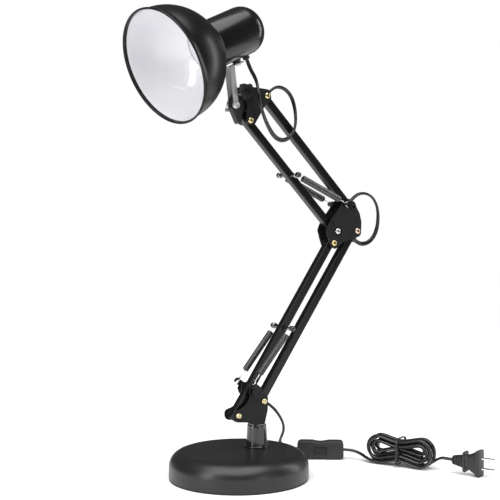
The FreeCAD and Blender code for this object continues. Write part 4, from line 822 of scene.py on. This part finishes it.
def makeCap():
    c = capLook
    z1 = c["length"] - c["edge"]
    profile = [(c["r"] - 0.0005, neckTop), (c["r"] - 0.0001, neckTop + 0.0003), (c["r"], neckTop + 0.0009)]
    profile += arcProfile(c["r"] - c["edge"], z1, c["edge"], 0, 86, 30)
    profile += [(0.0060, c["length"] - 0.00003), (0.0030, c["length"]), (0, c["length"])]
    profile += [(0, c["length"] - c["wall"]), (c["r"] - c["edge"], c["length"] - c["wall"])]
    profile += arcProfile(c["r"] - c["edge"], z1, c["edge"] - c["wall"], 84, 0, 12)
    profile += [(c["r"] - c["wall"], neckTop)]
    piece = lathe("shadeCapDrum", profile, rimCentre, -shadeMouth, mats["capGloss"], "head",
                  segments=160)
    sharpen(piece, 34)
    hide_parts("shade_cap")
    out = -shadeUp
    rings = [(0.00265, 0.0006), (0.00265, 0.0), (c["boss"] - 0.0004, 0.0), (c["boss"], 0.0004),
             (c["boss"], 0.0034), (c["boss"] + 0.0009, 0.0044), (0.00265, 0.0044)]
    boss = lathe("shadeCapBoss", [(r, -z) for r, z in rings], panPoint + out * c["bossH"], out,
                 mats["capGloss"], "head", segments=64)
    sharpen(boss, 34)
    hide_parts("shade_cap")


makeCap()

# the base shell and the stem
baseLook = dict(r=0.085, h=0.0337, edge=0.018, foot=0.0016, wall=0.0012)


def makeBase():
    b = baseLook
    z = b["h"] - b["edge"]
    profile = [(0, b["h"])] + [(x, b["h"]) for x in (0.02, 0.045, 0.060)]
    profile += arcProfile(b["r"] - b["edge"], z, b["edge"], 90, 0, 30)
    profile += [(b["r"], 0.006), (b["r"], b["foot"] + 0.0004), (b["r"] - 0.0004, b["foot"])]
    profile += [(b["r"] - b["wall"], b["foot"]), (b["r"] - b["wall"], z)]
    profile += arcProfile(b["r"] - b["edge"], z, b["edge"] - b["wall"], 0, 90, 12)[1:]
    profile += [(0, b["h"] - b["wall"])]
    piece = lathe("baseShellTurned", profile, Vector((0, 0, 0)), Vector((0, 0, 1)), mats["baseCharcoal"],
                  "base", segments=224)
    sharpen(piece, 40)
    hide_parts("base_shell")


stemLook = dict(foot=0.0136, top=0.0119, flange=0.0152, flangeT=0.0018, h=0.028, lip=0.0010, bore=0.0061)


def makeStem():
    s = stemLook
    z0 = baseLook["h"]
    z1 = z0 + s["h"]
    profile = [(0.0041, z0), (s["flange"] - 0.0003, z0), (s["flange"], z0 + 0.0003)]
    profile += arcProfile(s["flange"] - 0.0006, z0 + s["flangeT"] - 0.0006, 0.0006, 0, 90, 5)
    profile += [(s["foot"] + 0.0005, z0 + s["flangeT"] + 0.0001), (s["foot"], z0 + s["flangeT"] + 0.0006)]
    steps = 6
    for i in range(1, steps + 1):
        share = i / steps
        profile.append((s["foot"] + (s["top"] - s["foot"]) * share,
                        z0 + s["flangeT"] + 0.0006 + (s["h"] - s["flangeT"] - 0.0006 - s["lip"]) * share))
    profile += arcProfile(s["top"] - s["lip"], z1 - s["lip"], s["lip"], 15, 90, 6)
    profile += [(s["bore"], z1), (s["bore"], z1 - 0.0215), (0.0041, z1 - 0.0215)]
    piece = lathe("stemTurned", profile, stemAxis, Vector((0, 0, 1)), mats["stemGloss"], "base",
                  segments=128)
    sharpen(piece, 40)
    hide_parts("stem_post")


makeBase()
makeStem()
print("turned pieces made")

# every other CAD node gets its finish, and a small round on its edges
dressing = {
    "base_weight": ("castIron", 0.0004), "base_pad": ("padFelt", 0.0003),
    "stem_bolt": ("steelPlain", 0.0003), "swivel_washer": ("nylonWhite", 0.0001),
    "swivel_peg": ("steelPlain", 0.0003), "lower_bracket": ("bracketMatte", 0.0004),
    "lower_spring_hooks": ("bracketMatte", 0.0003), "lower_pivot_screws": ("goldZinc", 0.00025),
    "lower_spacers": ("bushBlack", 0.0003), "lower_front_tube": ("armSatin", 0.0),
    "lower_front_bushes": ("bushBlack", 0.0002), "lower_back_tube": ("armSatin", 0.0),
    "lower_back_bushes": ("bushBlack", 0.0002), "lower_cross_pin": ("stemGloss", 0.0002),
    "elbow_plate_near": ("bracketMatte", 0.0004), "elbow_plate_far": ("bracketMatte", 0.0004),
    "elbow_spacer": ("bracketMatte", 0.0003), "elbow_screws": ("elbowZinc", 0.00025),
    "elbow_spacers": ("bushBlack", 0.0003), "elbow_spring_studs": ("stemGloss", 0.0003),
    "upper_front_tube": ("armSatin", 0.0), "upper_front_bushes": ("bushBlack", 0.0002),
    "upper_back_tube": ("armSatin", 0.0), "upper_back_bushes": ("bushBlack", 0.0002),
    "upper_cross_pin": ("stemGloss", 0.0002), "top_plate_near": ("bracketMatte", 0.0004),
    "top_plate_far": ("bracketMatte", 0.0004), "head_block": ("blockBlack", 0.0006),
    "top_screws": ("goldZinc", 0.00025), "top_spacers": ("bushBlack", 0.0003),
    "knob_bolt": ("stemGloss", 0.0002), "tension_knob": ("knobBlack", 0.0006), "yoke": ("chrome", 0.0002),
    "yoke_bolt": ("chrome", 0.0003), "wing_nut": ("chrome", 0.0004), "pan_rivet": ("chrome", 0.0001),
    "lampholder": ("holderWhite", 0.0004), "socket_shell": ("contactBrass", 0.0001),
    "cord_grommet": ("bushBlack", 0.0002), "cord_upper_run": ("cordBlack", 0.0),
    "cord_lower_run": ("cordBlack", 0.0), "switch_front": ("switchBlack", 0.0003),
    "switch_back": ("switchBlack", 0.0003), "switch_rocker": ("rockerBlack", 0.0003),
    "hank_tie": ("tieBlack", 0.0002), "plug_blades": ("bladeNickel", 0.0002),
}
for name, look in dressing.items():
    dressNode(name, *look)
print("nodes dressed:", len(dressing))

# a pale studio table, with soft light from above, both sides and two small cards in front
stageLook = dict(size=2.7, color=(0.94, 0.94, 0.94), world=0.10, sun=3.95, sunAngle=70.0,
                 sunAim=(0.22, 0.26, -1.0))
# name, place, aim, width, height and watts of each soft box
softBoxes = [
    ("leftStrip", (-1.75, -0.25, 0.7), (0.05, 0.0, 0.3), 0.4, 1.7, 17.0),
    ("frontCard", (0.138, -1.380, 0.150), (-0.06, 0.0, 0.5), 0.22, 0.5, 1.6),
    ("forkCard", (0.40, -1.42, 0.57), (0.0, 0.0, 0.46), 0.34, 0.5, 0.8),
    ("rightStrip", (1.75, -0.45, 0.8), (0.05, 0.0, 0.25), 0.35, 1.7, 12.0),
]


def makeStage():
    half = stageLook["size"] / 2
    mesh = bpy.data.meshes.new("studioTable")
    corners = [(-half, -half, 0), (half, -half, 0), (half, half, 0), (-half, half, 0)]
    mesh.from_pydata(corners, [], [(0, 1, 2, 3)])
    table = bpy.data.objects.new("studioTable", mesh)
    bpy.context.collection.objects.link(table)
    material = bpy.data.materials.new("studioPaper")
    material.use_nodes = True
    tree = material.node_tree
    shader = tree.nodes["Principled BSDF"]
    surface = addNode(tree, "ShaderNodeGroup", node_tree=grainGroup)
    surface.inputs["Roughness"].default_value = 0.75
    surface.inputs["Height"].default_value = 0.05
    tree.links.new(surface.outputs["Roughness"], shader.inputs["Roughness"])
    tree.links.new(surface.outputs["Normal"], shader.inputs["Normal"])
    shader.inputs["Base Color"].default_value = colour(stageLook["color"])
    shader.inputs["Specular IOR Level"].default_value = 0.1
    mesh.materials.append(material)


def softBox(name, position, target, width, height, power):
    data = bpy.data.lights.new(name, "AREA")
    data.shape = "RECTANGLE"
    data.size = width
    data.size_y = height
    data.energy = power
    lamp = bpy.data.objects.new(name, data)
    bpy.context.collection.objects.link(lamp)
    lamp.location = position
    aim = (Vector(target) - Vector(position)).normalized()
    lamp.rotation_euler = aim.to_track_quat("-Z", "Y").to_euler()


def makeLights():
    data = bpy.data.lights.new("overheadDiffuser", "SUN")
    data.energy = stageLook["sun"]
    data.angle = math.radians(stageLook["sunAngle"])
    above = bpy.data.objects.new("overheadDiffuser", data)
    bpy.context.collection.objects.link(above)
    above.rotation_euler = Vector(stageLook["sunAim"]).to_track_quat("-Z", "Y").to_euler()
    for box in softBoxes:
        softBox(*box)
    world = bpy.data.worlds.new("studioWorld")
    bpy.context.scene.world = world
    world.use_nodes = True
    tree = world.node_tree
    tree.nodes.clear()
    path = addNode(tree, "ShaderNodeLightPath")
    light = addNode(tree, "ShaderNodeBackground", {"Color": (1, 1, 1, 1), "Strength": stageLook["world"]})
    seen = addNode(tree, "ShaderNodeBackground", {"Color": (1, 1, 1, 1), "Strength": 1.0})
    mix = addNode(tree, "ShaderNodeMixShader", {0: path.outputs["Is Camera Ray"], 1: light.outputs[0],
                                                 2: seen.outputs[0]})
    out = addNode(tree, "ShaderNodeOutputWorld")
    tree.links.new(mix.outputs[0], out.inputs["Surface"])


makeStage()
makeLights()
bpy.context.scene.view_settings.view_transform = "Standard"
print("stage and lights made")
